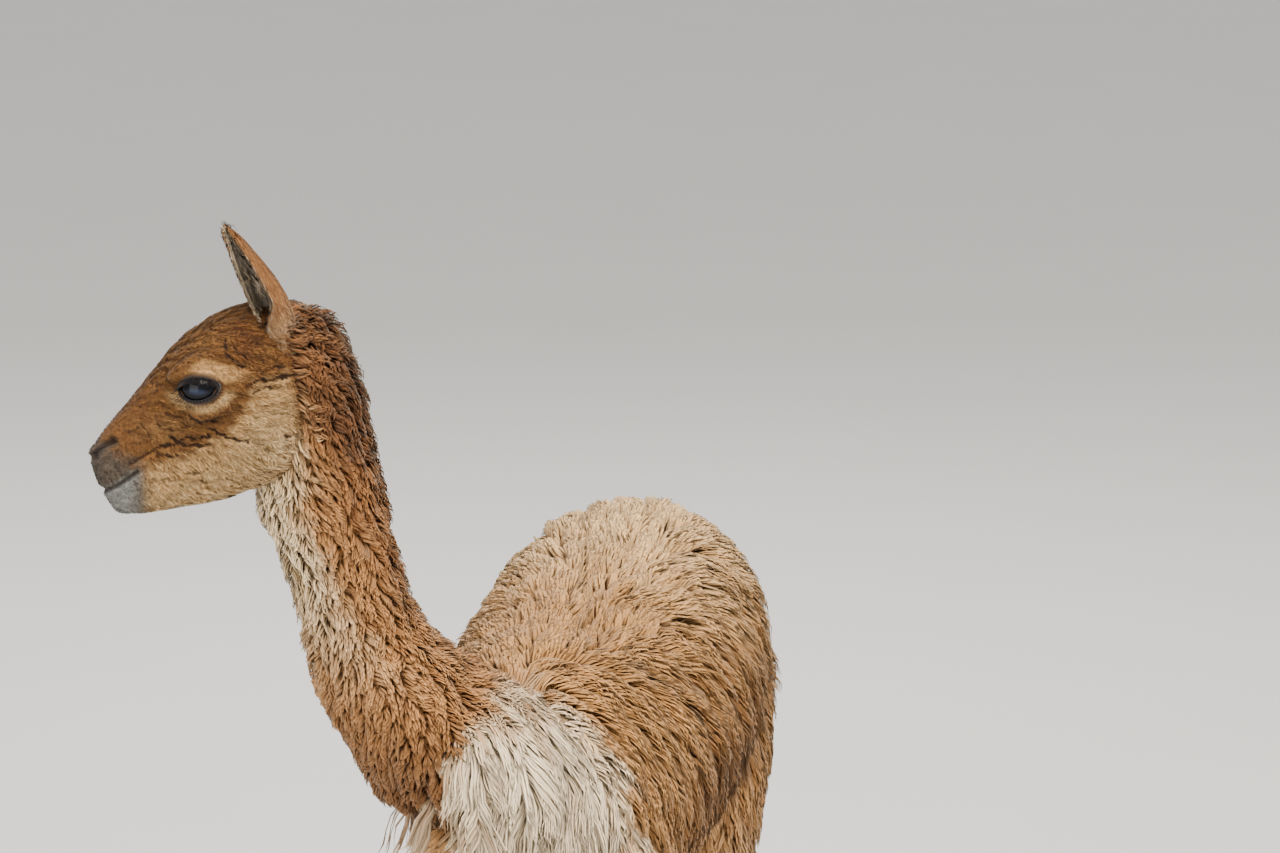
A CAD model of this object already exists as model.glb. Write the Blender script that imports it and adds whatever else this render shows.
# A life-size standing vicuna with its head turned to its right, as a museum shows one
# Metres. Shapes are made in the animal's own frame, with its chest toward -X and its left side
# at -Y, and are moved into the part's frame when their meshes are made.
import math

import bpy
import numpy as np
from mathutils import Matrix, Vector
from mathutils.bvhtree import BVHTree
from mathutils.kdtree import KDTree


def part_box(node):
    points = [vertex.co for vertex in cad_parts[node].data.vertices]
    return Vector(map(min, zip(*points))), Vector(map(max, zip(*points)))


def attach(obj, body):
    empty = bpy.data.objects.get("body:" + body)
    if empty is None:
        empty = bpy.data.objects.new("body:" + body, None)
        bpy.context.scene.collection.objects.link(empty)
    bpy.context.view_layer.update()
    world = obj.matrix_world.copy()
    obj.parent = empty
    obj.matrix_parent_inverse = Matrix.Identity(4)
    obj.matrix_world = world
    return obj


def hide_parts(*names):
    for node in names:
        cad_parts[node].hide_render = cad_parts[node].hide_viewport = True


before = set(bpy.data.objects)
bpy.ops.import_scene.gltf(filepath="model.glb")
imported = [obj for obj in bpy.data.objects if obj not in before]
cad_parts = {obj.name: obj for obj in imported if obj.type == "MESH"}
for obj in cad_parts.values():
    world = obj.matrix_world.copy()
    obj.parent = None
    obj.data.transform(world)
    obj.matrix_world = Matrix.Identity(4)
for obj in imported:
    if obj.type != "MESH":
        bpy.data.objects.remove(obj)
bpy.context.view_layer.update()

MM = 0.001
TURN = 2 * math.pi
chance = np.random.default_rng(11)

# Head: on the midline, level with the eyes
HEAD_AT = np.array([-560, 258, 1157]) * MM
HEAD_TURN, HEAD_PITCH, HEAD_ROLL = (math.radians(angle) for angle in (72, 27, 6))

# Eyes: glass balls in almond-shaped lids
EYE_RADIUS = 20 * MM
EYE_SPREAD = 39 * MM
EYE_SWING = math.radians(14)
LID_THICKNESS = 3.4 * MM
LID_LONG, LID_ABOVE, LID_BELOW, LID_TILT = 39 * MM, 10 * MM, 12.8 * MM, math.radians(-4)
LID_POINTS = 72
# The lid's rings: size as a share of the opening, and how many millimetres each stands off the ball
LID_RINGS = [
    (0.90, -3.0),
    (0.97, 0.1),
    (0.985, 1.2),
    (1.02, 2.3),
    (1.09, 2.9),
    (1.2, 2.6),
    (1.34, 1.9),
    (1.5, 1.2),
    (1.66, -0.4),
    (1.7, -4.0),
    (1.3, -5.0),
]
LASHES_ABOVE, LASHES_BELOW = 38, 16
LASH_LENGTH = 14 * MM

# Ears: where each points and faces, in a head whose +Y points out of the ear's own side
EAR_ROOT = [-86, 34, 33]
EAR_POINTING = {"left": [0.38, 0.16, 0.9], "right": [0.43, 0.34, 0.88]}
EAR_FACING = [0.87, 0.5, 0]
# Points across the ear, from one edge round its back to the other
EAR_SWEEP = 33

# Legs and toes: how far each foot stands back of its hip, in millimetres, and how the toes splay
STANCE = {"foreleg_left": -16, "foreleg_right": 12, "hindleg_left": 14, "hindleg_right": -12}
TOE_SPREAD, TOE_SPLAY, TOE_LEG_HEIGHT = 13, math.radians(5), 14
NAIL_FORWARD, NAIL_HEIGHT, NAIL_LEAN = 31, 20, math.radians(38)
# A nail is this much fuller than its toe, and starts this far beyond its slanted plane
NAIL_FULLNESS, NAIL_START = 0.2 * MM, 0.3 * MM
NAIL_POINTS, NAIL_RINGS = 40, 17

# The skin: how fine its meshes are, and how many millimetres it lies below the outside of short fur
BODY_MESH, FOOT_MESH, HEAD_MESH = 6.5 * MM, 3.2 * MM, 1.6 * MM
FACE_FUR = 1.8
LEG_FUR_DEPTH = 2.0
FLOOR_GAP = 0.5 * MM
# The body's mesh holds the legs from here up, and the feet's mesh holds the stretch below
UPPER_LEG_FROM = 430 * MM
LOWER_LEG = (12 * MM, 476 * MM)

# The coat: locks are longer than wide, and each hair chooses among the nearest few
LOCK_SLIMNESS = 0.45
LOCK_CHOICES = 7
# A tuft rises from the skin fast, runs along level, and its tip comes down a little
RISE_AND_FALL = 1.85
# Hair roots start this far inside the skin
ROOT_DEPTH = 1.2 * MM
# Shadows between hairs are warmer than the hairs
WARMTH = np.array([0.85, 1.05, 1.35])
# How far light falls on a lock as a whole, and not on each tuft
SOFTNESS = 0.78
# A tuft's share of the unwrap
PATCH = 0.003

# The camera looks at the head from the front left, from a little above
CAMERA_AT = np.array([-5.2354, -1.2723, 2.1540])
CAMERA_AZIMUTH, CAMERA_ELEVATION = math.radians(-77), math.radians(12)
CAMERA_LENS = 140.625

# Where each light stands, what it looks at, its size, its power and its colour
LIGHTS = {
    "key light": ((-2.4, -1.6, 4.2), (-0.3, 0.1, 0.8), (3.2, 3.2), 470, (1, 0.94, 0.85)),
    "fill light": ((-3.4, 1.4, 1.1), (-0.3, 0.1, 0.7), (3, 2), 70, (1, 0.95, 0.88)),
    "back light": ((3.2, 1.0, 3.4), (-0.1, 0.1, 0.8), (2.4, 2.4), 110, (1, 0.98, 0.95)),
}
SKY_COLOUR, SKY_STRENGTH = (1, 0.985, 0.96, 1), 0.82
FLOOR_COLOUR, FLOOR_REACH = (0.72, 0.71, 0.69), 60

SIDES = ("left", "right")


def outward(side):
    """Which way along Y a side lies"""
    return -1 if side == "left" else 1


# Where the part's frame lies in the animal's: the barrel's ends and the feet tell it
barrel_low, barrel_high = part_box("barrel")
left_low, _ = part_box("forefoot_left")
_, right_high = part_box("forefoot_right")
BARREL_MIDDLE = -14 * MM
PART_ORIGIN = np.array(
    [
        BARREL_MIDDLE - (barrel_low[0] + barrel_high[0]) / 2,
        -(left_low[1] + right_high[1]) / 2,
        0,
    ]
)


# Small vector helpers

def unit(vectors):
    return vectors / np.maximum(np.linalg.norm(vectors, axis=-1, keepdims=True), 1e-12)


def across(vectors, normals):
    """The vectors' parts that lie in the surface, as unit vectors"""
    return unit(vectors - (vectors * normals).sum(-1, keepdims=True) * normals)


def ease(values, low, high):
    """0 below low, 1 above high, and smooth between"""
    share = np.clip((values - low) / (high - low), 0, 1)
    return share * share * (3 - 2 * share)


def mix(first, second, share):
    """The first where the share is 0, the second where it is 1"""
    share = np.asarray(share)[..., None]
    return np.asarray(first) * (1 - share) + np.asarray(second) * share


def transform(points, place):
    """Points moved from a frame's own measures into the ones it stands in"""
    return points @ place[:3, :3].T + place[:3, 3]


def basis(x, y, z, at=(0, 0, 0)):
    """A frame with the given axes and middle"""
    place = np.eye(4)
    place[:3, 0], place[:3, 1], place[:3, 2], place[:3, 3] = x, y, z, at
    return place


def turned(axis, angle):
    """A frame turned round one axis"""
    c, s = math.cos(angle), math.sin(angle)
    if axis == "x":
        return basis((1, 0, 0), (0, c, s), (0, -s, c))
    if axis == "y":
        return basis((c, 0, -s), (0, 1, 0), (s, 0, c))
    return basis((c, s, 0), (-s, c, 0), (0, 0, 1))


def waves(points, size, seed, octaves=2):
    """Smooth uneven values between about -1 and 1, from waves that cross each other"""
    turns = np.random.default_rng(seed)
    crossing, usual_height = 5, 3.2
    total = np.zeros(len(points))
    for octave in range(octaves):
        for _ in range(crossing):
            direction = unit(turns.normal(size=3)) * TURN / (size * turns.uniform(0.7, 1.4)) * 2**octave
            total += np.sin(points @ direction + turns.uniform(0, TURN)) / 2**octave
    return total / usual_height


# Forms: body parts whose sections lie in parallel planes

class Form:
    """A row is one section in millimetres: how far along, its middle across and up, its half width,
    its height above and depth below that middle, how much its lower half narrows, and its turn."""

    # Sections are a little squarer than ovals
    BULGE = 0.92

    def __init__(self, place, rows):
        padded = [list(row) + [0] * (8 - len(row)) for row in rows]
        self.rows = np.array(padded, float)
        self.rows[:, :6] *= MM
        self.place = place
        self.inverse = np.linalg.inv(place)

    def section(self, along):
        """The rows' values at places along the form, on smooth curves through the rows"""
        rows = self.rows
        row = np.clip(np.searchsorted(rows[:, 0], along, side="right") - 1, 0, len(rows) - 2)
        start, end = rows[row].T, rows[row + 1].T
        before, after = rows[np.maximum(row - 1, 0)].T, rows[np.minimum(row + 2, len(rows) - 1)].T
        span = end[0] - start[0]
        share = np.clip((along - start[0]) / span, 0, 1)
        rise = share * share * (3 - 2 * share)
        slope_in = (end - before) / (end[0] - before[0]) * span
        slope_out = (after - start) / (after[0] - start[0]) * span
        bend = slope_in * share * (1 - share) ** 2 - slope_out * share**2 * (1 - share)
        return start * (1 - rise) + end * rise + bend

    def surface(self, along, angle, grow=0.0):
        """Points on the form, or outside it by a little growth"""
        _, aside, up, wide, above, below, narrowing, turn = self.section(along)
        c, s = np.cos(angle), np.sin(angle)
        taper = np.where(s > 0, 1, 1 + narrowing * s)
        wide, above, below = (np.maximum(size + grow, 0) for size in (wide, above, below))
        u = wide * taper * np.sign(c) * np.abs(c) ** self.BULGE
        v = np.where(s > 0, above, below) * np.sign(s) * np.abs(s) ** self.BULGE
        tc, ts = np.cos(np.radians(turn)), np.sin(np.radians(turn))
        local = np.stack([along + 0 * u, aside + u * tc + v * ts, up + v * tc - u * ts], -1)
        return transform(local, self.place)

    def locate(self, points):
        """How far along the points are, at what angle, and how far outside"""
        local = transform(points, self.inverse)
        along = np.clip(local[:, 0], self.rows[0, 0] + MM, self.rows[-1, 0] - MM)
        _, aside, up, wide, above, below, narrowing, turn = self.section(along)
        tc, ts = np.cos(np.radians(turn)), np.sin(np.radians(turn))
        u = (local[:, 1] - aside) * tc - (local[:, 2] - up) * ts
        v = (local[:, 1] - aside) * ts + (local[:, 2] - up) * tc
        thinnest = MM / 10
        high = np.maximum(np.where(v > 0, above, below), thinnest)
        angle = np.arctan2(v / high, u / np.maximum(wide, thinnest))
        taper = np.where(angle > 0, 1, 1 + narrowing * np.sin(angle))
        level = np.hypot(u / np.maximum(wide * taper, thinnest), v / high)
        distance = np.hypot(u, v)
        outside = distance - distance / np.maximum(level, 1e-6) + np.abs(local[:, 0] - along)
        return along, angle, outside

    def shell(self, step, sides, grow=0.0, stretch=None):
        """A closed mesh of the form, or of a stretch of it: points and faces"""
        low, high = stretch or (self.rows[0, 0], self.rows[-1, 0])
        count = max(3, int((high - low) / step))
        if stretch:
            alongs = np.linspace(low, high, count + 1)
            past_end = 0
        else:
            # The rings stand closer together toward the rounded ends
            alongs = low + (high - low) * (1 - np.cos(np.linspace(0, math.pi, count + 1)[1:-1])) / 2
            past_end = grow
        angles = np.arange(sides) * TURN / sides
        grid_along, grid_angle = np.meshgrid(alongs, angles, indexing="ij")
        rings = self.surface(grid_along.ravel(), grid_angle.ravel(), grow).reshape(len(alongs), sides, 3)
        ends = np.array([low - past_end, high + past_end])
        _, aside, up = self.section(ends)[:3]
        middles = transform(np.stack([ends, aside, up], -1), self.place)
        return loft(middles[0], rings, middles[1])


def loft(first, rings, last):
    """Stitches rings of equal count together, and closes each end on a point"""
    count, sides = rings.shape[:2]
    points = np.vstack([first, rings.reshape(-1, 3), last])
    side = np.arange(sides)
    following = (side + 1) % sides
    faces = [(0, 1 + b, 1 + a) for a, b in zip(side, following)]
    for ring in range(count - 1):
        low, high = 1 + ring * sides, 1 + (ring + 1) * sides
        faces += [(low + a, low + b, high + b, high + a) for a, b in zip(side, following)]
    low = 1 + (count - 1) * sides
    faces += [(len(points) - 1, low + a, low + b) for a, b in zip(side, following)]
    return points, faces


def ball_shell(place, centre, radii, around=32, down=20):
    """A closed ball or egg, its middle and its three half sizes in millimetres"""
    tilt = np.linspace(0, math.pi, down + 1)[1:-1]
    turn = np.arange(around) * TURN / around
    grid_tilt, grid_turn = np.meshgrid(tilt, turn, indexing="ij")
    ring = np.stack(
        [np.sin(grid_tilt) * np.cos(grid_turn), np.sin(grid_tilt) * np.sin(grid_turn), np.cos(grid_tilt)],
        -1,
    )
    centre, radii = np.array(centre, float), np.array(radii, float)
    points, faces = loft(np.array([0, 0, 1.0]), ring, np.array([0, 0, -1.0]))
    return transform((centre + points * radii) * MM, place), faces


# The frames of the upright forms, of the head and of the skull, whose nose points down and forward
UPRIGHT = basis((0, 0, 1), (0, 1, 0), (-1, 0, 0))
HEAD = turned("z", math.pi - HEAD_TURN) @ turned("x", HEAD_ROLL)
HEAD[:3, 3] = HEAD_AT
SKULL = HEAD @ turned("y", HEAD_PITCH)

TORSO_ROWS = [
    [-394, 0, 648, 0, 0, 0, 0],
    [-385, 0, 645, 44, 46, 58, 0.1],
    [-358, 0, 645, 72, 92, 116, 0.15],
    [-308, 0, 648, 93, 126, 155, 0.22],
    [-240, 0, 648, 111, 150, 178, 0.28],
    [-160, 0, 646, 128, 156, 183, 0.28],
    [-60, 0, 646, 144, 160, 178, 0.22],
    [40, 0, 654, 151, 164, 178, 0.18],
    [130, 0, 668, 150, 171, 178, 0.15],
    [210, 0, 680, 145, 174, 170, 0.12],
    [280, 0, 690, 132, 157, 150, 0.1],
    [330, 0, 695, 108, 122, 118, 0.05],
    [362, 0, 696, 74, 80, 78, 0],
    [379, 0, 696, 38, 42, 42, 0],
    [386, 0, 696, 0, 0, 0, 0],
]
# The neck turns as it rises, and "above" is its throat
NECK_ROWS = [
    [640, 8, 300, 0, 0, 0, 0, 0],
    [680, 22, 312, 101.5, 101.5, 101.5, 0, 0],
    [720, 39, 332, 106.5, 110.5, 110.5, 0, 4],
    [757, 60, 352, 99.5, 108.5, 108.5, 0, 10],
    [790, 81, 373, 86.5, 97.5, 97.5, 0, 18],
    [820, 101, 394, 71.5, 82.5, 82.5, 0, 26],
    [850, 117, 416, 57.5, 65.5, 65.5, 0, 35],
    [879, 129, 429, 50.5, 55.5, 55.5, 0, 44],
    [912, 136, 443, 46, 51.5, 51.5, 0, 52],
    [945, 143, 457, 43.5, 49.5, 49.5, 0, 59],
    [982, 148, 471, 42.5, 51.5, 51.5, 0, 65],
    [1020, 155, 486, 43.5, 56, 56, 0, 69],
    [1072, 154, 503, 40.5, 50.5, 50.5, 0, 71],
    [1119, 150, 516, 36.5, 44.5, 44.5, 0, 72],
    [1164, 148, 527, 30.5, 36.5, 36.5, 0, 72],
    [1203, 151, 529, 21.5, 26.5, 26.5, 0, 72],
    [1227, 155, 533, 11.5, 15.5, 15.5, 0, 72],
    [1231, 156, 534, 0, 0, 0, 0, 72],
]
SKULL_ROWS = [
    [-128, 0, -10, 0, 0, 0, 0],
    [-118, 0, -12, 30, 30, 38, 0.1],
    [-96, 0, -8, 45, 49, 74, 0.15],
    [-72, 0, 0, 52, 50, 103, 0.25],
    [-44, 0, 2, 54, 51, 119, 0.38],
    [-14, 0, 2, 52, 48, 122, 0.42],
    [12, 0, -1, 47, 44, 116, 0.4],
    [40, 0, -12, 37, 44, 101, 0.3],
    [70, 0, -24, 29, 44, 79, 0.18],
    [96, 0, -33, 24.5, 43, 62, 0.1],
    [114, 0, -38, 22, 40, 51, 0.06],
    [127, 0, -42, 18.5, 35, 39, 0.04],
    [135, 0, -46, 12, 25, 26, 0],
    [138.5, 0, -48, 0, 0, 0, 0],
]
EAR_ROWS = [
    [-14, 0, 0, 0, 0, 0],
    [-8, 0, 0, 10, 9, 10],
    [6, 0, 0, 16, 13, 16],
    [26, 0, 0, 21, 14, 20],
    [46, 0, 0, 24, 12, 22],
    [68, 0, 1, 23, 10, 21],
    [90, 0, 2, 19, 8, 17.5],
    [110, 0, 3, 13.5, 5.5, 13],
    [127, 0, 4, 8, 3.5, 8.5],
    [137, 0, 5, 4, 2.4, 4.5],
    [141, 0, 5.5, 0, 0, 0],
]
# In a leg, "above" is its front
FORELEG_ROWS = [
    [2, 76, 246, 0, 0, 0],
    [14, 76, 245, 15, 14, 14],
    [40, 76, 240, 18, 19, 18],
    [68, 76, 231, 17.5, 17, 17.5],
    [95, 75, 224, 18.5, 18.5, 20],
    [130, 75, 221, 14.5, 15, 17],
    [200, 75, 221, 15, 16, 18.5],
    [245, 75, 223, 19, 20, 20],
    [275, 75, 225, 22, 25, 22],
    [310, 75, 222, 20, 21, 23],
    [360, 76, 218, 22, 25, 28],
    [420, 78, 211, 27, 34, 38],
    [470, 81, 204, 32, 44, 50],
    [520, 84, 205, 37, 58, 60],
    [580, 84, 212, 38, 66, 66],
    [630, 80, 215, 28, 50, 50],
    [652, 78, 215, 0, 0, 0],
]
HINDLEG_ROWS = [
    [2, 80, -288, 0, 0, 0],
    [14, 80, -289, 15, 14, 14],
    [40, 81, -293, 18, 18, 18],
    [68, 82, -300, 17.5, 17, 17.5],
    [92, 82, -304, 18, 18.5, 20],
    [130, 83, -307, 14.5, 14, 16],
    [200, 84, -310, 15, 15, 18],
    [255, 85, -313, 16.5, 17, 21],
    [298, 86, -314, 19.5, 24, 30],
    [330, 88, -304, 19.5, 27, 33],
    [375, 91, -282, 23, 33, 36],
    [430, 96, -248, 31, 48, 50],
    [490, 100, -226, 39, 70, 76],
    [560, 103, -228, 46, 92, 98],
    [640, 100, -246, 48, 98, 100],
    [700, 92, -260, 34, 70, 74],
    [730, 88, -264, 0, 0, 0],
]
TOE_ROWS = [
    [-33, 0, 15, 0, 0, 0],
    [-27, 0, 15, 9, 10, 12],
    [-12, 0, 17, 12.4, 16, 20],
    [8, 0, 17, 12.8, 17, 20],
    [24, 0, 16, 12, 13, 19],
    [37, 0, 13, 9.5, 10.5, 15],
    [46, 0, 10.5, 6, 8, 11],
    [51, 0, 8.5, 0, 0, 0],
]
TAIL_ROWS = [
    [548, 0, -404, 0, 0, 0],
    [558, 0, -404, 20, 9, 10],
    [590, 0, -405, 32, 17, 19],
    [640, 0, -405, 36, 21, 24],
    [690, 0, -398, 34, 24, 27],
    [730, 0, -382, 30, 28, 28],
    [764, 0, -360, 22, 22, 20],
    [780, 0, -350, 0, 0, 0],
]


def leg_form(name):
    rows = FORELEG_ROWS if name.startswith("fore") else HINDLEG_ROWS
    side = "left" if name.endswith("left") else "right"
    hip = rows[-3][0]
    stepped = [
        [height, out, forward - STANCE[name] * max(0, 1 - height / hip), *sizes]
        for height, out, forward, *sizes in rows
    ]
    return Form(basis((0, 0, 1), (0, outward(side), 0), (-1, 0, 0)), stepped)


torso = Form(np.eye(4), TORSO_ROWS)
neck = Form(UPRIGHT, NECK_ROWS)
tail = Form(UPRIGHT, TAIL_ROWS)
skull = Form(SKULL, SKULL_ROWS)
legs = {name: leg_form(name) for name in STANCE}


def toe_form(leg, way):
    _, out, forward = leg.section(np.array([TOE_LEG_HEIGHT * MM]))[:3, 0]
    place = np.eye(4)
    place[:3, 3] = [0, out + way * TOE_SPREAD * MM, forward]
    lying = basis((0, 0, 1), (0, 1, 0), (1, 0, 0))
    return Form(leg.place @ place @ turned("x", -way * TOE_SPLAY) @ lying, TOE_ROWS)


toes = {(name, way): toe_form(leg, way) for name, leg in legs.items() for way in (1, -1)}


def on_side(place, side):
    """A head frame with +Y pointing out of one side"""
    return place @ np.diag([1.0, -outward(side), 1.0, 1.0])


def eye_frame(side):
    """+X forward, +Y up and +Z out through the pupil, at the middle of the eyeball"""
    c, s = math.cos(EYE_SWING), math.sin(EYE_SWING)
    place = basis((c, -s, 0), (0, 0, 1), (s, c, 0), (0, EYE_SPREAD, 0))
    return on_side(HEAD, side) @ place @ turned("z", LID_TILT)


def ear_frame(side):
    along = unit(np.array(EAR_POINTING[side], float))
    facing = across(np.array(EAR_FACING, float), along)
    at = np.array(EAR_ROOT) * MM
    return on_side(HEAD, side) @ basis(along, np.cross(facing, along), facing, at)


ears = {side: Form(ear_frame(side), EAR_ROWS) for side in SIDES}


# Meshes

def mesh_object(name, points, faces, material=None):
    """A smooth mesh in the scene, moved into the part's frame"""
    mesh = bpy.data.meshes.new(name)
    places = (np.asarray(points) - PART_ORIGIN).tolist()
    mesh.from_pydata(places, [], [tuple(map(int, face)) for face in faces])
    mesh.polygons.foreach_set("use_smooth", [True] * len(mesh.polygons))
    mesh.update()
    made = bpy.data.objects.new(name, mesh)
    bpy.context.scene.collection.objects.link(made)
    if material:
        mesh.materials.append(material)
    return made


def together(shells):
    """Several shells as one mesh: points and faces"""
    points, faces, start = [], [], 0
    for shell_points, shell_faces in shells:
        points.append(shell_points)
        faces += [tuple(index + start for index in face) for face in shell_faces]
        start += len(shell_points)
    return np.vstack(points), faces


def fused(shells, size):
    """One even surface round overlapping shells: points and four-sided faces"""
    rough = mesh_object("rough", *together(shells))
    even = rough.modifiers.new("even", "REMESH")
    even.mode = "VOXEL"
    even.voxel_size = size
    depsgraph = bpy.context.evaluated_depsgraph_get()
    mesh = bpy.data.meshes.new_from_object(rough.evaluated_get(depsgraph))
    points = np.empty(len(mesh.vertices) * 3)
    mesh.vertices.foreach_get("co", points)
    corners = np.empty(len(mesh.loops), int)
    mesh.loops.foreach_get("vertex_index", corners)
    bpy.data.objects.remove(rough)
    bpy.data.meshes.remove(mesh)
    return points.reshape(-1, 3) + PART_ORIGIN, corners.reshape(-1, 4)


def relaxed(points, faces, times, share=0.5):
    """Evens the points out by moving them toward their neighbours"""
    first = faces.ravel()
    second = np.roll(faces, -1, axis=1).ravel()
    count = np.bincount(np.concatenate([first, second]), minlength=len(points))
    for _ in range(times):
        total = np.zeros_like(points)
        for axis in range(3):
            total[:, axis] = np.bincount(first, points[second, axis], len(points))
            total[:, axis] += np.bincount(second, points[first, axis], len(points))
        points = points * (1 - share) + total / count[:, None] * share
    return points


def point_normals(points, faces):
    corners = points[faces]
    face_normals = np.cross(corners[:, 2] - corners[:, 0], corners[:, 3] - corners[:, 1])
    total = np.zeros_like(points)
    for corner in range(4):
        for axis in range(3):
            total[:, axis] += np.bincount(faces[:, corner], face_normals[:, axis], len(points))
    return unit(total)


# Face landmarks, in millimetres forward of and above the point between the eyes

MOUTH = [[109, -101], [97, -106], [84, -100], [72, -92], [64, -86]]
NOSTRIL = [[108, -72], [103, -64], [96, -59], [88, -55]]
MOUTH_DEPTH, NOSTRIL_DEPTH, NOSTRIL_RIM, CLEFT_DEPTH = 4.2, 6.5, 1.5, 3
# Each crease: its points, how wide it is and how deep
CREASES = [
    ([[11, -29], [5, -34], [-5, -35], [-15, -34]], 2.4, 2.0),
    ([[31, -50], [24, -55], [14, -51], [0, -52], [-8, -50]], 2.6, 2.8),
    ([[-9, -42], [-18, -48], [-29, -53], [-46, -57]], 2.4, 2.4),
    ([[72, -78], [56, -68], [41, -61], [27, -57], [12, -60], [-8, -59]], 2.4, 2.6),
    ([[44, -67], [36, -70], [24, -69]], 2.0, 1.8),
    ([[51, -95], [36, -94], [19, -97], [0, -99], [-14, -100]], 2.2, 2.2),
    ([[15, -90], [-5, -85], [-14, -78]], 2.0, 1.8),
    ([[50, -103], [40, -98], [26, -103]], 2.0, 1.6),
    ([[-12, -92], [-30, -96], [-44, -92]], 2.0, 1.6),
    ([[-84, -53], [-96, -49], [-112, -49]], 2.6, 2.4),
    ([[-95, -50], [-96, -62], [-97, -76], [-101, -92]], 2.8, 2.8),
    ([[-72, -82], [-84, -76], [-98, -73]], 2.6, 2.4),
    ([[-60, -66], [-74, -68], [-90, -62]], 2.0, 1.6),
    ([[-25, 48], [-26, 32], [-34, 26], [-43, 19]], 2.4, 2.2),
    ([[-33, 40], [-38, 33], [-47, 28]], 2.0, 1.6),
    ([[-46, 2], [-58, 6], [-72, 6], [-90, 11]], 2.6, 2.6),
    ([[-52, -6], [-64, -2], [-80, -2]], 2.2, 1.8),
    ([[-60, 14], [-70, 18], [-84, 20]], 2.2, 1.8),
    ([[62, -36], [54, -44], [50, -54]], 1.8, 1.2),
    ([[44, -38], [36, -44], [22, -42]], 1.8, 1.2),
]

# Swellings in millimetres of the skull's frame: the middle and the three half sizes of each
CHIN = ([118, 0, -68], [20, 16.5, 17])
SIDE_SWELLINGS = {
    "brow": ([-6, 41, 22], [34, 15, 13]),
    "cheekbone": ([2, 40, -24], [30, 13, 12]),
    "upper lip": ([116, 8, -34], [20.5, 14.5, 18.5]),
    "nostril": ([117, 11, -11], [17, 8, 8]),
}

# Folds of the fleece over the withers and the shoulder, in millimetres
FOLDS = [
    [[73, 7, 825], [1, -1, 812], [-99, -14, 803], [-183, -25, 799]],
    [[-248, 35, 790], [-183, -25, 799], [-82, -38, 800], [0, -52, 803]],
    [[-150, -60, 785], [-116, -102, 757], [-60, -130, 720]],
]
FOLD_DEPTH, FOLD_REACH = 8, 15


def line_distance(flat, line):
    """Distance from points in a plane to a line through points"""
    best = np.full(len(flat), np.inf)
    for start, end in zip(np.array(line[:-1], float), np.array(line[1:], float)):
        way = end - start
        share = np.clip(((flat - start) @ way) / (way @ way), 0, 1)
        best = np.minimum(best, np.linalg.norm(flat - start - share[:, None] * way, axis=1))
    return best


def profile(points):
    """Forward and up in the head's frame in millimetres, and how far out to the side"""
    local = transform(points, np.linalg.inv(HEAD)) / MM
    return local[:, [0, 2]], np.abs(local[:, 1])


def wandering(flat):
    """Places on the face moved a little to and fro, because its creases are not straight"""
    x, y = flat.T
    wander = 1.2 * np.sin(x * 0.4 + y * 0.5) + 0.35 * np.sin(x * 1.3 - y)
    return flat + wander[:, None] * [0.3, 1]


def crease_depth(flat):
    """How many millimetres the face's creases press in at places in profile"""
    x, y = flat.T
    uneven = 0.35 * (1 + np.sin(0.8 * x + 1.3 * y) * np.sin(0.5 * x - 0.9 * y + 1))
    moved = wandering(flat)
    depth = np.zeros(len(flat))
    for line, width, deep in CREASES:
        distance = line_distance(moved, line) + uneven
        depth = np.maximum(depth, deep * (1 - ease(distance, 0, 1.2 * width)))
    return depth


def beside_midline(out):
    """0 along the middle of the face, where it has no creases, and 1 on its sides"""
    return ease(out, 14, 26)


def almond_share(x, y):
    """How far out from the middle of the eye's opening points are: 1 on its edge"""
    half = LID_LONG / 2
    reach = np.clip(np.abs(x) / half, 0, 1)
    height = np.where(y > 0, LID_ABOVE, LID_BELOW) * (1 - reach**2.2) ** 0.9
    lens = np.abs(y) / np.maximum(height, MM)
    return np.where(np.abs(x) < half, np.hypot(lens, reach), 1 + (np.abs(x) - half) / half + lens * 0.2)


# The skin

def head_shells():
    shells = [skull.shell(3 * MM, 64, -FACE_FUR * MM)]
    centre, radii = CHIN
    shells.append(ball_shell(SKULL, centre, np.array(radii) - FACE_FUR))
    for side in SIDES:
        place = on_side(SKULL, side)
        for centre, radii in SIDE_SWELLINGS.values():
            shells.append(ball_shell(place, centre, np.array(radii) - FACE_FUR))
        lid = (EYE_RADIUS + LID_THICKNESS) / MM - FACE_FUR
        shells.append(ball_shell(eye_frame(side), [0, 0, 0], [lid] * 3))
        shells.append(ears[side].shell(4 * MM, 32, -MM, (-8 * MM, 24 * MM)))
    return shells


def feature_depth(points):
    """How many millimetres the creases, the mouth, the nostrils and the lip's cleft press in"""
    flat, out = profile(points)
    forward, up = flat.T
    sink = crease_depth(flat) * beside_midline(out)
    sink += MOUTH_DEPTH * (1 - ease(line_distance(flat, MOUTH), 0.6, 3.4))
    nostril = line_distance(flat, NOSTRIL)
    sink += NOSTRIL_DEPTH * (1 - ease(nostril, 1.2, 5.2)) * ease(out, 4, 9)
    sink -= NOSTRIL_RIM * ease(nostril, 4, 6) * (1 - ease(nostril, 6, 11)) * ease(out, 6, 16)
    cleft = (1 - ease(out, 0, 2.2)) * ease(forward, 88, 104) * ease(-up, 66, 76)
    return sink + CLEFT_DEPTH * cleft * (1 - ease(-up, 100, 108))


def clear_eye(points, side):
    """Draws the head's skin in behind the eyeball, over the lids' opening and a little more"""
    place = eye_frame(side)
    local = transform(points, np.linalg.inv(place))
    inside = almond_share(local[:, 0], local[:, 1])
    near = (local[:, 2] > 0) & (np.linalg.norm(local, axis=1) < 1.5 * EYE_RADIUS)
    share = np.where(near, 1 - ease(inside, 1.35, 1.6), 0)[:, None]
    behind = unit(local) * (EYE_RADIUS - 4 * MM)
    return transform(local * (1 - share) + behind * share, place)


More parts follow.
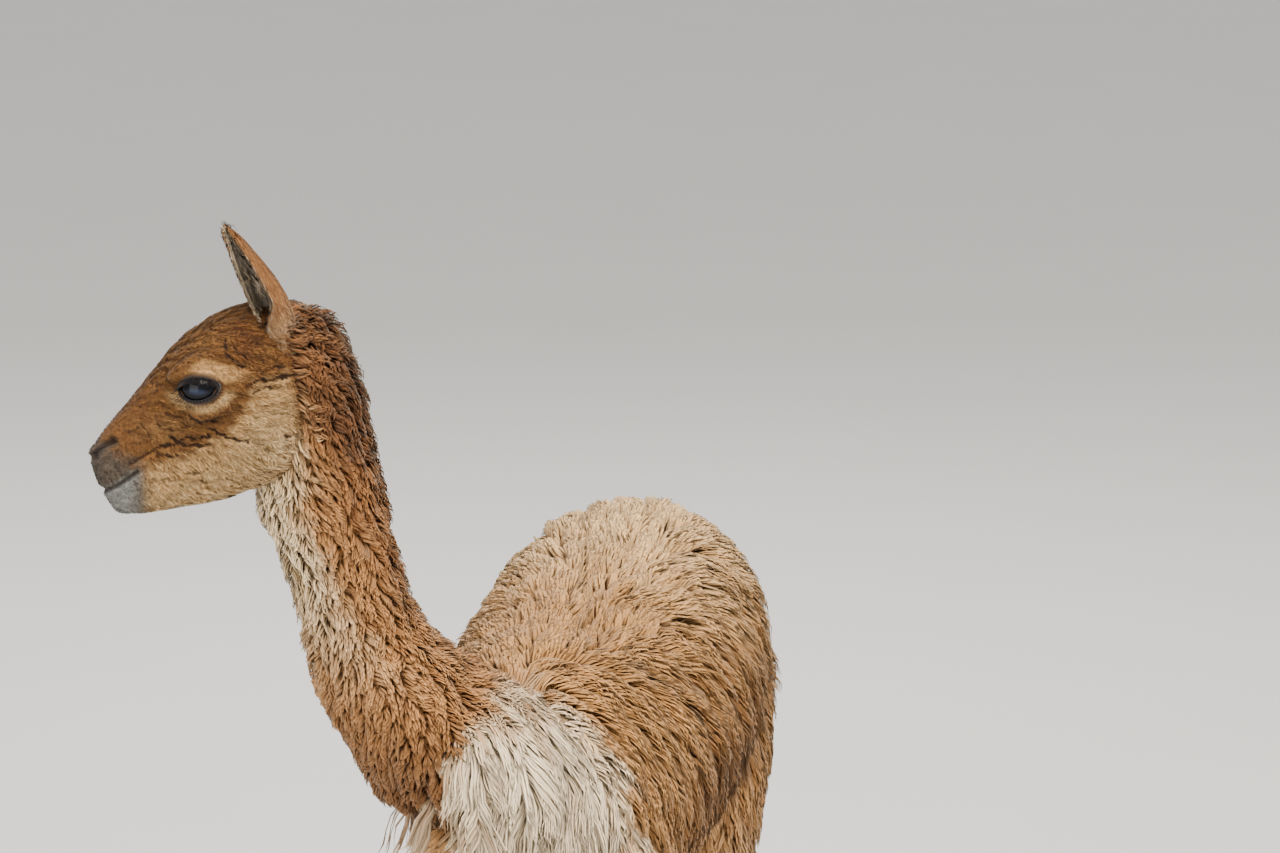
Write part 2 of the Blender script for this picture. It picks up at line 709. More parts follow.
def sculpt_head(points, faces):
    """Presses the face's features and the eyes' openings into the head"""
    moved = points - point_normals(points, faces) * (feature_depth(points) * MM)[:, None]
    for side in SIDES:
        moved = clear_eye(moved, side)
    return moved


def lid_edge(turn):
    """The outline of the eye's opening, seen along the pupil"""
    height = np.where(np.sin(turn) > 0, LID_ABOVE, LID_BELOW)
    y = np.sign(np.sin(turn)) * height * np.abs(np.sin(turn)) ** 1.15
    return np.stack([LID_LONG / 2 * np.cos(turn), y], -1)


def lid_band(side):
    """The eye's lids as one smooth band, from the ball out under the skin round it"""
    edge = lid_edge(np.linspace(0, TURN, LID_POINTS, endpoint=False))
    rings = []
    for size, lift in LID_RINGS:
        flat = edge * size
        radius = EYE_RADIUS + lift * MM
        reach = np.linalg.norm(flat, axis=1)
        flat = flat * np.minimum(1, 0.97 * radius / np.maximum(reach, MM))[:, None]
        reach = np.linalg.norm(flat, axis=1)
        rings.append(np.column_stack([flat, np.sqrt(np.maximum(radius**2 - reach**2, 0))]))
    points = transform(np.array(rings).reshape(-1, 3), eye_frame(side))
    faces = []
    here = np.arange(LID_POINTS)
    following = (here + 1) % LID_POINTS
    for ring in range(len(rings)):
        low, high = ring * LID_POINTS, (ring + 1) % len(rings) * LID_POINTS
        faces += [(low + a, low + b, high + b, high + a) for a, b in zip(here, following)]
    return points, np.array(faces)


def ear_shell(side):
    """The ear as a thin leaf-shaped cup that opens to its front"""
    form = ears[side]
    alongs = np.concatenate([np.linspace(-8, 30, 8), np.linspace(34, 139.5, 42)]) * MM
    inset = 0.8 * MM
    rings = []
    for along in alongs:
        narrowing = 1 - 0.55 * ease(along, 100 * MM, 140 * MM)
        opening = math.radians(70) * ease(along, 24 * MM, 62 * MM) * narrowing
        sweep = np.linspace(opening, TURN - opening, EAR_SWEEP) + math.pi / 2
        here = np.full(EAR_SWEEP, along)
        thick = (2.6 - 1.3 * ease(along, 60 * MM, 140 * MM)) * MM
        half_width = form.section(np.array([along]))[3, 0]
        outer = form.surface(here, sweep, -inset)
        inner = form.surface(here, sweep, -inset - min(thick, 0.45 * half_width))
        rings.append(np.vstack([outer, inner[::-1]]))
    rings = np.array(rings)
    tip = form.surface(np.array([140.4 * MM]), np.array([-math.pi / 2]))[0]
    return loft(rings[0].mean(0), rings, tip)


def quads(faces):
    """Faces of three or four corners as rows of four, a triangle's last corner twice"""
    return np.array([tuple(face) + (face[-1],) * (4 - len(face)) for face in faces])


def body_shells():
    shells = [torso.shell(8 * MM, 64), neck.shell(8 * MM, 48), tail.shell(8 * MM, 32)]
    for leg in legs.values():
        top = leg.rows[-1, 0]
        shells.append(leg.shell(8 * MM, 40, 0, (UPPER_LEG_FROM, top - MM)))
    return shells


def foot_shells():
    shells = [leg.shell(5 * MM, 40, -LEG_FUR_DEPTH * MM, LOWER_LEG) for leg in legs.values()]
    shells += [toe.shell(3 * MM, 32, -MM) for toe in toes.values()]
    return shells


def fold_share(points):
    """How near points are to a fold of the fleece: 1 in it"""
    distance = np.min([line_distance(points / MM, fold) for fold in FOLDS], axis=0)
    wander = 3 * waves(points, 20 * MM, 41)
    return 1 - ease(distance + wander, 0, FOLD_REACH)


def body_skin():
    points, faces = fused(body_shells(), BODY_MESH)
    points = relaxed(points, faces, 6)
    lumps = 2.2 * waves(points, 46 * MM, 3) + 1.1 * waves(points, 21 * MM, 4)
    lumps = (lumps - FOLD_DEPTH * fold_share(points)) * MM
    return points + point_normals(points, faces) * lumps[:, None], faces


def foot_skin():
    points, faces = fused(foot_shells(), FOOT_MESH)
    return relaxed(points, faces, 4), faces


def head_skin():
    points, faces = fused(head_shells(), HEAD_MESH)
    points = relaxed(points, faces, 10)
    return relaxed(sculpt_head(points, faces), faces, 1, 0.4), faces


def make_skin():
    """The skin's separate meshes by name, each as points and faces of four corners"""
    meshes = {"body": body_skin(), "feet": foot_skin(), "head": head_skin()}
    for side in SIDES:
        meshes[f"lid_{side}"] = lid_band(side)
        points, faces = ear_shell(side)
        meshes[f"ear_{side}"] = (points, quads(faces))
    return meshes


def spans_of(meshes):
    """Where each mesh's points stand in one row of all their points"""
    spans, start = {}, 0
    for name, (points, _) in meshes.items():
        spans[name] = slice(start, start + len(points))
        start += len(points)
    return spans


# Markings, shared by the skin and the coat

def shade(red, green, blue):
    """A colour as the eye reads it from 0 to 255, for light"""
    levels = np.array([red, green, blue]) / 255
    return np.where(levels < 0.04045, levels / 12.92, ((levels + 0.055) / 1.055) ** 2.4)


CINNAMON = shade(112, 75, 36)
RUST = shade(90, 53, 22)
BUFF = shade(191, 159, 112)
PALE_TAN = shade(195, 151, 98)
MUZZLE_GREY = shade(69, 63, 56)
CHIN_GREY = shade(118, 120, 118)
NECK_FAWN = shade(178, 125, 74)
NAPE_ORANGE = shade(157, 104, 57)
THROAT_FAWN = shade(255, 228, 184)
FAWN = shade(190, 137, 80)
PALE_FAWN = shade(238, 197, 142)
CREAM = shade(255, 232, 196)
EAR_TAN = shade(134, 90, 52)
EAR_DARK = shade(128, 118, 106)
EAR_RIM = shade(176, 158, 132)
EAR_FOOT = shade(148, 118, 86)
DEEP_FAWN = shade(128, 82, 39)
LEG_PALE = shade(211, 176, 133)
FOOT_BROWN = shade(159, 116, 73)
DARK_SKIN = shade(42, 32, 28)
EYE_BLACK = shade(12, 11, 15)
EYE_BLUE = shade(38, 48, 72)
LASH_BLACK = shade(26, 20, 20)
HORN_BLACK = shade(52, 44, 38)


def creased(colours, points, strength):
    """Darkens colours in the creases of the face"""
    flat, out = profile(points)
    dark = ease(crease_depth(flat), 0.1, 1.2) * beside_midline(out)
    return mix(colours, RUST * 0.2, strength * dark)


# The pale cheek lies below a line that falls from the ear toward the lips
CHEEK_LINE_FORWARD = [-90, -52, -42, -22, 16, 54, 80, 100]
CHEEK_LINE_UP = [6, -2, -28, -56, -73, -83, -98, -110]


def face_patch(forward, up, half_sizes, full, faded, ragged=0.0):
    """1 on an oval patch of the face and 0 beyond it, from places measured from its middle"""
    return 1 - ease(np.hypot(forward / half_sizes[0], up / half_sizes[1]) + ragged, full, faded)


def cheek_and_brow(colour, forward, up, ragged):
    """Cinnamon above and buff below the cheek's line, with pale and rusty patches"""
    below = np.interp(forward, CHEEK_LINE_FORWARD, CHEEK_LINE_UP) - up + ragged
    colour = mix(colour, BUFF, 0.92 * ease(below, -15, 17))
    colour = mix(colour, PALE_TAN, 0.45 * (1 - ease(np.abs(below - 12), 0, 22)))
    cheek = face_patch(forward - 40, up + 42, (34, 16), 0.4, 1.2, 0.04 * ragged)
    colour = mix(colour, PALE_TAN * 0.85, 0.2 * cheek)
    brow = face_patch(forward + 19, up - 15 - 0.15 * (forward + 19), (30, 10), 0.5, 1.2, 0.03 * ragged)
    colour = mix(colour, PALE_TAN, 0.95 * brow)
    crown = face_patch(forward + 46, up - 44, (20, 26), 0.4, 1.3, 0.04 * ragged)
    colour = mix(colour, RUST, 0.75 * crown)
    nose = face_patch(forward - 70, up + 30, (26, 40), 0.5, 1.2)
    return mix(colour, RUST, 0.4 * nose)


def eye_surround(colour, forward, up, out):
    """A pale ring under the eye, and dark skin at the lids"""
    rim = np.hypot(forward / 22, (up + 1) / 15.5)
    ring = ease(rim, 0.95, 1.15) * (1 - ease(rim, 1.35, 1.8)) * ease(-up, 0, 10)
    colour = mix(colour, BUFF * 0.85, 0.7 * ring)
    lids = face_patch(forward, up + 0.5, (24, 17), 0.84, 1.05) * ease(out, 25, 40)
    return mix(colour, DARK_SKIN, 0.7 * lids)


def muzzle_colour(colour, flat, out, ragged):
    """Grey below a line that falls from the nose's tip, a paler chin, dark nostrils and lips"""
    forward, up = flat.T
    grey = ease(-50 - 0.6 * (112 - forward) - up + ragged, -18, 14) * ease(forward, 44, 66)
    colour = mix(colour, MUZZLE_GREY, 0.92 * grey)
    chin = ease(-up + 0.62 * (109 - forward), 106, 116) * ease(forward, 52, 76)
    colour = mix(colour, CHIN_GREY, 0.85 * chin)
    nostril = (1 - ease(line_distance(flat, NOSTRIL), 2.4, 5.4)) * ease(out, 3, 8)
    colour = mix(colour, DARK_SKIN, 0.85 * nostril)
    return mix(colour, DARK_SKIN, 0.8 * (1 - ease(line_distance(flat, MOUTH), 1.2, 3.4)))


def head_colour(points):
    flat, out = profile(points)
    forward, up = flat.T
    ragged = 6 * waves(points, 16 * MM, 21)
    colour = cheek_and_brow(CINNAMON, forward, up, ragged)
    colour = eye_surround(colour, forward, up, out)
    colour = muzzle_colour(colour, flat, out, ragged)
    # The crown and the back of the head are in the neck's wool
    back = ease(-forward + 0.18 * up, 84, 100) * ease(up, -110, -60)
    crown = ease(-forward + 0.5 * up, 88, 108)
    colour = mix(colour, mix(RUST, NAPE_ORANGE, 0.35), np.maximum(back, crown))
    mottled = 1 + 0.2 * waves(points, 9 * MM, 27) + 0.16 * waves(points, 4.5 * MM, 28)
    colour = colour * np.clip(mottled, 0.7, 1.3)[:, None]
    return creased(colour, points, 0.75)


def neck_colour(points):
    _, angle, _ = neck.locate(points)
    height = points[:, 2]
    ragged = 0.16 * waves(points, 45 * MM, 22)
    # 1 at the throat, -1 at the nape
    front = np.sin(angle) + ragged - 1.2 * ease(height, 1.1, 1.18)
    colour = mix(NECK_FAWN, DEEP_FAWN * 0.85, ease(front, 0.0, 0.6) * (1 - ease(height, 0.7, 0.86)))
    colour = mix(colour, THROAT_FAWN, 0.9 * ease(front, 0.1, 0.8) * ease(height, 0.8, 1.0))
    upper = ease(height, 0.93, 1.12)
    nape = ease(-front, 0.25 - 0.55 * upper, 0.75 - 0.3 * upper)
    colour = mix(colour, NAPE_ORANGE, (0.35 + 0.65 * ease(height, 0.8, 0.98)) * nape)
    return mix(colour, RUST, ease(height + 0.3 * ragged, 1.02, 1.14) * nape)


def torso_colour(points):
    """Pale along the back and the rump, deeper on the low flank, cream below"""
    x, y, z = points.T
    ragged = 0.02 * waves(points, 60 * MM, 23)
    side = np.abs(y) / 0.15
    top = ease(z + ragged, 0.73, 0.83) * ease(x + ragged, -0.08, 0.16)
    colour = mix(FAWN, PALE_FAWN, 0.75 * top * (1 - 0.3 * side))
    low_flank = ease(side, 0.6, 1.0) * (1 - ease(z, 0.6, 0.8)) * ease(x, -0.25, -0.05)
    colour = mix(colour, DEEP_FAWN, low_flank)
    colour = mix(colour, FAWN * 0.5, 0.7 * fold_share(points))
    rump = ease(x + ragged, 0.16, 0.36) * ease(z, 0.5, 0.7)
    colour = mix(colour, PALE_FAWN, 0.6 * rump)
    belly = 1 - ease(z + 1.4 * ragged - 0.05 * side, 0.45, 0.54)
    return mix(colour, CREAM, belly)


def bib_share(points):
    """How far points are in the cream bib of the chest"""
    x, y, z = points.T
    ragged = 0.022 * waves(points, 50 * MM, 24)
    # Its top falls to both sides and to the rear, and its rear border slants
    top = 0.807 + 0.4 * np.minimum(y + 0.03, 0) - 0.9 * np.maximum(y, 0)
    top = top - 0.55 * np.maximum(x + 0.26, 0)
    rear = -0.27 + 0.3 * (0.64 - z)
    share = ease(top - z + ragged, -0.02, 0.045) * (1 - ease(x + ragged - rear, -0.03, 0.03))
    # The neck's fawn runs down the front of the chest between the bib's two halves
    middle = (1 - ease(np.abs(y - 0.075) + ragged, 0.035, 0.07)) * ease(z, 0.56, 0.66)
    return share * (1 - middle)


def leg_colour(points):
    """Fawn at the top, paler down the leg and cream on its inside, with brown feet"""
    _, y, z = points.T
    ragged = 0.015 * waves(points, 40 * MM, 25)
    inner = 1 - ease(np.abs(y) + ragged, 0.062, 0.1)
    colour = mix(LEG_PALE, FAWN, ease(z + ragged, 0.36, 0.56))
    colour = mix(colour, CREAM, 0.75 * inner)
    colour = mix(colour, PALE_TAN, 0.5 * (1 - ease(z, 0.1, 0.32)))
    return mix(colour, FOOT_BROWN, 0.75 * (1 - ease(z, 0.03, 0.1)))


def tail_colour(points):
    """Fawn on its upper side, cream on its edges and tip"""
    x, _, z = points.T
    back = ease(x + 0.02 * waves(points, 40 * MM, 26), 0.385, 0.415)
    return mix(CREAM, FAWN, 0.85 * back * ease(z, 0.56, 0.66))


def nearness(points, forms):
    return np.min([form.locate(points)[2] for form in forms], axis=0)


REGIONS = {
    "head": ([skull], head_colour),
    "neck": ([neck], neck_colour),
    "torso": ([torso], torso_colour),
    "leg": (list(legs.values()), leg_colour),
    "tail": ([tail], tail_colour),
}


def markings(points):
    """The coat's colour at points on or near the skin"""
    near = {region: nearness(points, forms) for region, (forms, _) in REGIONS.items()}
    best = np.min(list(near.values()), axis=0)
    total = np.zeros((len(points), 3))
    weight = np.zeros(len(points))
    for region, (_, rule) in REGIONS.items():
        share = np.exp(-np.maximum(near[region] - best, 0) / (10 * MM))
        total += rule(points) * share[:, None]
        weight += share
    colour = total / weight[:, None]
    in_head = 1 - ease(near["head"], -5 * MM, 5 * MM)
    above_legs = points[:, 2] > 0.4
    return mix(colour, CREAM, bib_share(points) * (1 - in_head) * above_legs)


def outer_ear_colour(points, side):
    along = ears[side].locate(points)[0]
    return mix(EAR_FOOT, EAR_TAN, ease(along, 10 * MM, 60 * MM))


def inner_hair_colour(points):
    pale = chance.random(len(points)) < 0.4
    return np.where(pale[:, None], EAR_RIM * 0.8, EAR_DARK)


def ear_edge_colour(points):
    return np.tile(EAR_RIM, (len(points), 1))


# The coat: tapered, curved tufts of hair, each a closed prism

def random_roots(points, faces, wanted, spacing):
    """Evenly spread places on the wanted faces of the skin, with the way out of it there"""
    corners = points[faces]
    first_diagonal, second_diagonal = corners[:, 2] - corners[:, 0], corners[:, 3] - corners[:, 1]
    area = np.linalg.norm(np.cross(first_diagonal, second_diagonal), axis=1) / 2
    area = np.where(wanted, area, 0)
    tries_for_each = 5
    tries = int(tries_for_each * area.sum() / spacing**2) + 10
    chosen = chance.choice(len(faces), tries, p=area / area.sum())
    s, t = chance.random((2, tries, 1))
    quad = corners[chosen]
    near_edge = quad[:, 0] * (1 - s) + quad[:, 1] * s
    far_edge = quad[:, 3] * (1 - s) + quad[:, 2] * s
    places = near_edge * (1 - t) + far_edge * t
    cells = np.floor(places / spacing).astype(int)
    _, kept = np.unique(cells, axis=0, return_index=True)
    normals = point_normals(points, faces)[faces[chosen[kept], 0]]
    return places[kept], normals


def shared_out(roots, centres, heading, normals, size):
    """Each root's lock, and how far across and along that lock it stands, from -1 to 1"""
    tree = KDTree(len(centres))
    for index, centre in enumerate(centres):
        tree.insert(centre, index)
    tree.balance()
    count = min(LOCK_CHOICES, len(centres))
    near = np.array([[index for _, index, _ in tree.find_n(root, count)] for root in roots])
    offset = roots[:, None] - centres[near]
    along = (offset * heading[:, None]).sum(-1)
    aside = (offset * np.cross(normals, heading)[:, None]).sum(-1)
    best = np.argmin(np.hypot(aside, LOCK_SLIMNESS * along), axis=1)
    row = np.arange(len(roots))
    half_width, half_length = 0.36 * size, 0.8 * size
    aside = np.clip(aside[row, best] / half_width, -1, 1)
    along = np.clip(along[row, best] / half_length, -1, 1)
    return near[row, best], aside, along


class Surface:
    """Finds how high points stand over the skin, and the way out of it"""

    def __init__(self, points, faces):
        corners = [tuple(dict.fromkeys(face)) for face in faces.tolist()]
        self.tree = BVHTree.FromPolygons(points.tolist(), corners)
        self.normals = unit(point_normals(points, faces)[faces].sum(1))

    def under(self, points):
        found = [self.tree.find_nearest(point) for point in points.tolist()]
        nearest = np.array([tuple(place) for place, *_ in found])
        normals = self.normals[[index for _, _, index, _ in found]]
        return ((points - nearest) * normals).sum(1), normals


class Coat:
    """How one part of the coat grows. Spacing, length, width, thickness, lift off the skin, size
    of the locks and curl are in millimetres."""

    def __init__(self, spacing, length, wide, thick, lift, clump, pull, curl=0.0, coil=1.0,
                 stations=4, stray=0.25, hangs=False, vary=0.2, plump=0.5, shadow=0.35, mottle=0.07,
                 steep=0.25):
        self.spacing, self.length = spacing * MM, length * MM
        self.wide, self.thick = wide * MM, thick * MM
        self.lift, self.clump = lift * MM, clump * MM
        # How far tufts draw together in a lock, how wide they curl and how many turns they make
        self.pull, self.curl, self.coil = pull, curl * MM, coil
        # How many points a tuft has, how far it strays, and whether it hangs clear of the skin
        self.stations, self.stray, self.hangs = stations, stray, hangs
        # How uneven and how plump the locks are, how dark the gaps, and how uneven the tones
        self.vary, self.plump, self.shadow, self.mottle = vary, plump, shadow, mottle
        # How much shorter hair also lies lower
        self.steep = steep


def follow(coat, roots, normals, lie, length, height_at):
    """Paths over the skin from roots: each station steps along the lie, at its height off the skin"""
    largest_fall, largest_rise = -12 * MM, 30 * MM
    at, out = roots, normals
    paths = [at - out * ROOT_DEPTH]
    steps = coat.stations - 1
    for station in range(1, coat.stations):
        heading = unit(lie(at)) if coat.hangs else across(lie(at), out)
        at = at + heading * (length / steps)[:, None]
        height, below = ground.under(at)
        out = unit(out * 0.45 + below * 0.55)
        push = height_at(station / steps) - height
        if coat.hangs:
            push = np.maximum(push, 0)
        at = at + out * np.clip(push, largest_fall, largest_rise)[:, None]
        paths.append(at)
    return np.array(paths).transpose(1, 0, 2)


def tuft_paths(coat, roots, normals, lie, lean, size, height):
    """The paths of tufts that lean from the lie, each with its own size and height"""

    def leaning(at):
        return lie(at) + lean

    def height_at(share):
        return coat.lift * (0.15 + 0.85 * math.sin(share * RISE_AND_FALL)) * height

    return follow(coat, roots, normals, leaning, coat.length * size, height_at)


def lock_places(coat, roots):
    """Which roots stand at the middles of locks: one in each uneven cell"""
    shaken = roots + chance.uniform(-0.5, 0.5, roots.shape) * coat.clump
    order = chance.permutation(len(roots))
    cells = np.floor(shaken / (1.25 * coat.clump)).astype(int)[order]
    return order[np.unique(cells, axis=0, return_index=True)[1]]


def grow(coat, roots, normals, lie, size_at=None):
    """Tuft paths, gathered into plump locks that share a bend and a curl"""
    places = lock_places(coat, roots)
    count = len(places)
    heading = across(lie(roots), normals)
    lock, aside, along = shared_out(roots, roots[places], heading, normals, coat.clump)
    lock_lean = chance.normal(size=(count, 3)) * coat.stray
    lock_size = chance.uniform(1 - coat.vary, 1 + coat.vary, count)
    phase = chance.uniform(0, TURN, count)
    size = np.ones(len(roots)) if size_at is None else size_at(roots)
    steepness = size**coat.steep
    guides = tuft_paths(
        coat, roots[places], normals[places], lie, lock_lean,
        size[places] * lock_size, steepness[places] * lock_size,
    )
    # A lock is highest along its middle and toward its tip
    plump = (1 - coat.plump) + coat.plump * np.sqrt(1 - 0.9 * aside**2) * (0.85 + 0.25 * along)
    own_lean = lock_lean[lock] + chance.normal(size=roots.shape) * coat.stray * 0.3
    own_size = size * lock_size[lock] * chance.uniform(0.85, 1.1, len(roots))
    height = steepness * lock_size[lock] * plump * chance.uniform(0.95, 1.05, len(roots))
    paths = tuft_paths(coat, roots, normals, lie, own_lean, own_size, height)
    # Tufts draw toward the middle of their lock sideways, and much less along it or down
    toward = guides[lock] - paths
    for way, held_back in ((heading, 0.75), (normals, 0.7)):
        toward -= held_back * (toward * way[:, None]).sum(-1, keepdims=True) * way[:, None]
    shares = np.linspace(0, 1, coat.stations)
    paths = paths + toward * (coat.pull * shares**1.2)[None, :, None]
    if coat.curl:
        paths = curled(coat, paths, normals, phase[lock], size)
    tilt = np.cross(normals, heading) * (0.8 * aside)[:, None] + heading * (0.35 * along)[:, None]
    return paths, lock, aside, along, unit(normals + tilt)


def curled(coat, paths, normals, phase, size):
    """Tufts wound round their own paths, wider toward their tips"""
    shares = np.linspace(0, 1, coat.stations)
    side = unit(np.cross(paths[:, -1] - paths[:, 0], normals))
    start = phase + chance.normal(size=len(paths)) * 0.15
    angle = TURN * coat.coil * shares[None] + start[:, None]
    swing = coat.curl * shares[None] ** 0.7 * size[:, None]
    paths = paths + side[:, None] * (np.sin(angle) * swing)[..., None]
    return paths + normals[:, None] * (np.cos(angle) * swing * 0.5)[..., None]


def prism_faces(rings):
    """The faces of one tuft: its closed root, its sides, and the three that meet at its tip"""
    faces = [(0, 2, 1)]
    for ring in range(rings):
        for corner in range(3):
            a, b = ring * 3 + corner, ring * 3 + (corner + 1) % 3
            if ring < rings - 1:
                faces += [(a, b, b + 3), (a, b + 3, a + 3)]
            else:
                faces.append((a, b, rings * 3))
    return np.array(faces)


def tuft_mesh(paths, normals, wide, thick):
    """A three-sided prism along each path, closed at its root and drawn to a point at its tip"""
    count, stations = paths.shape[:2]
    rings = stations - 1
    ahead = np.gradient(paths, axis=1)
    side = unit(np.cross(ahead, normals[:, None]))
    rise = unit(np.cross(side, ahead))
    shares = np.linspace(0, 1, stations)[:rings]
    breadth = (0.62 + 0.38 * np.sin(shares * 2.6 + 0.3)) * (1 - 0.5 * shares**2)
    corners = []
    for corner in range(3):
        angle = TURN * (corner / 3 - 0.25)
        offset = side[:, :rings] * (math.cos(angle) * breadth)[None, :, None] * (wide / 2)[:, None, None]
        offset += rise[:, :rings] * (math.sin(angle) * breadth)[None, :, None] * (thick / 2)[:, None, None]
        corners.append(paths[:, :rings] + offset)
    body = np.stack(corners, 2).reshape(count, rings * 3, 3)
    points = np.concatenate([body, paths[:, -1:]], 1)
    faces = prism_faces(rings)[None] + (np.arange(count) * points.shape[1])[:, None, None]
    point_share = np.append(np.repeat(shares, 3), 1.0)
    point_side = np.append(np.tile([0.0, 0.5, 1.0], rings), 0.5)
    return points, faces.reshape(-1, 3), point_share, point_side


def set_colours(mesh, colours):
    layer = mesh.color_attributes.new("tone", "FLOAT_COLOR", "POINT")
    layer.data.foreach_set("color", np.column_stack([colours, np.ones(len(colours))]).ravel())


def set_vectors(mesh, name, vectors):
    layer = mesh.attributes.new(name, "FLOAT_VECTOR", "POINT")
    layer.data.foreach_set("vector", vectors.ravel())


def chart(roots, forms):
    """Each root's place on a flat unwrap of the forms, side by side in one square"""
    located = [form.locate(roots) for form in forms]
    nearest = np.argmin([place[2] for place in located], axis=0)
    flat = np.zeros((len(roots), 2))
    for index, (form, (along, angle, _)) in enumerate(zip(forms, located)):
        own = nearest == index
        low, high = form.rows[0, 0], form.rows[-1, 0]
        around = (angle[own] / TURN + 0.5) * 0.97 + 0.01
        flat[own, 0] = (index + around) / len(forms)
        flat[own, 1] = 0.01 + 0.97 * (along[own] - low) / (high - low)
    return flat


def triangle_mesh(name, points, faces):
    """A large smooth mesh of triangles, filled without loops"""
    mesh = bpy.data.meshes.new(name)
    mesh.vertices.add(len(points))
    mesh.vertices.foreach_set("co", (points - PART_ORIGIN).ravel())
    mesh.loops.add(faces.size)
    mesh.loops.foreach_set("vertex_index", faces.ravel())
    mesh.polygons.add(len(faces))
    mesh.polygons.foreach_set("loop_start", np.arange(len(faces)) * 3)
    mesh.polygons.foreach_set("loop_total", np.full(len(faces), 3))
    mesh.polygons.foreach_set("use_smooth", np.ones(len(faces), bool))
    mesh.update(calc_edges=True)
    return mesh


def tuft_tones(coat, tint, lock, aside, along, share, shades):
    """Tones for every point of every tuft, from dark roots and gaps to light tips"""
    # Each lock and each tuft has its own tone
    tint = tint * (1 + coat.mottle * chance.normal(size=(lock.max() + 1, 1, 1)))[lock]
    tint = tint * (1 + coat.mottle * chance.normal(size=(len(lock), 1, 1)))
    gap = coat.shadow * (ease(np.abs(aside), 0.45, 1) + 0.5 * ease(-along, 0.2, 1))
    tint = tint * (1 - np.minimum(gap, 0.8))[:, None, None] ** WARMTH
    root_shade, tip_shade = shades
    ramp = root_shade + (tip_shade - root_shade) * share**0.8
    deep = np.minimum(ramp, 1)[:, None] ** WARMTH * np.maximum(ramp, 1)[:, None]
    tones = np.maximum(tint * deep[None], 0)
    # Too light a tone is brought down as a whole, so that it keeps its hue
    return tones / np.maximum(tones.max(-1, keepdims=True), 1)


def coat_piece(name, slot, coat, mesh_name, wanted, lie, forms, material, colour=markings, size_at=None,
               shades=(0.5, 1.15), crisp=False):
    """One piece of the coat, on the wanted faces of one of the skin's meshes. Shades are its tones
    at the root and at the tip, and a crisp one takes its colours point by point, not tuft by tuft."""
    roots, normals = random_roots(*skin_meshes[mesh_name], wanted, coat.spacing)
    paths, lock, aside, along, rise = grow(coat, roots, normals, lie, size_at)
    count = len(roots)
    size = chance.uniform(0.8, 1.2, count)
    points, faces, share, side = tuft_mesh(paths, normals, coat.wide * size, coat.thick * size)
    points = points.reshape(-1, 3)
    mesh = triangle_mesh(name, points, faces)
    tint = colour(points).reshape(count, -1, 3) if crisp else colour(roots)[:, None]
    set_colours(mesh, tuft_tones(coat, tint, lock, aside, along, share, shades).reshape(-1, 3))
    fibre = np.empty((count, len(share), 3))
    fibre[..., 0] = side[None]
    fibre[..., 1] = share[None]
    fibre[..., 2] = chance.uniform(0, 50, (count, 1))
    set_vectors(mesh, "fibre", fibre)
    set_vectors(mesh, "rise", np.repeat(rise, len(share), axis=0))
    flat = chart(roots, forms)[:, None] + np.stack([side - 0.5, share - 0.5], -1)[None] * PATCH * 0.9
    flat = np.clip(flat.reshape(-1, 2), 0.001, 0.999)
    mesh.uv_layers.new(name="OFBake").data.foreach_set("uv", flat[faces.ravel()].astype(np.float32).ravel())
    mesh.materials.append(material)
    piece = bpy.data.objects.new(name, mesh)
    bpy.context.scene.collection.objects.link(piece)
    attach(piece, "root")


# Node trees

def add_node(tree, kind, inputs=None, **settings):
    """A node with its settings and its inputs: an input given a socket is joined to it"""
    node = tree.nodes.new(kind)
    for name, value in settings.items():
        setattr(node, name, value)
    fill(tree, node, inputs or {})
    return node


def fill(tree, node, inputs):
    for name, value in inputs.items():
        if isinstance(value, bpy.types.NodeSocket):
            tree.links.new(value, node.inputs[name])
        else:
            node.inputs[name].default_value = value


# Materials

def new_material(name):
    material = bpy.data.materials.new(name)
    material.use_nodes = True
    return material, material.node_tree, material.node_tree.nodes["Principled BSDF"]


def point_value(tree, name, output):
    """What the mesh's points hold under a name"""
    return add_node(tree, "ShaderNodeAttribute", attribute_name=name).outputs[output]


def grain(tree, vector, scale, detail):
    """Fine unevenness over the piece"""
    inputs = {"Vector": vector, "Scale": scale, "Detail": detail}
    return add_node(tree, "ShaderNodeTexNoise", inputs).outputs["Fac"]


def uneven_tone(tree, unevenness, limits):
    """The piece's own tone, lighter and darker with the unevenness"""
    spread = add_node(tree, "ShaderNodeMapRange", {"Value": unevenness, **limits}).outputs["Result"]
    tone = point_value(tree, "tone", "Color")
    return add_node(tree, "ShaderNodeVectorMath", {0: tone, "Scale": spread}, operation="SCALE").outputs[0]


def fine_bump(tree, height, strength, distance, normal=None):
    inputs = {"Height": height, "Strength": strength, "Distance": distance}
    if normal:
        inputs["Normal"] = normal
    return add_node(tree, "ShaderNodeBump", inputs).outputs["Normal"]


def lock_normal(tree):
    """The way light falls: on the lock as a whole more than on each tuft"""
    facing = add_node(tree, "ShaderNodeNewGeometry").outputs["Normal"]
    shares = {"Factor": SOFTNESS, "A": facing, "B": point_value(tree, "rise", "Vector")}
    mixed = add_node(tree, "ShaderNodeMix", shares, data_type="VECTOR").outputs["Result"]
    return add_node(tree, "ShaderNodeVectorMath", {0: mixed}, operation="NORMALIZE").outputs[0]


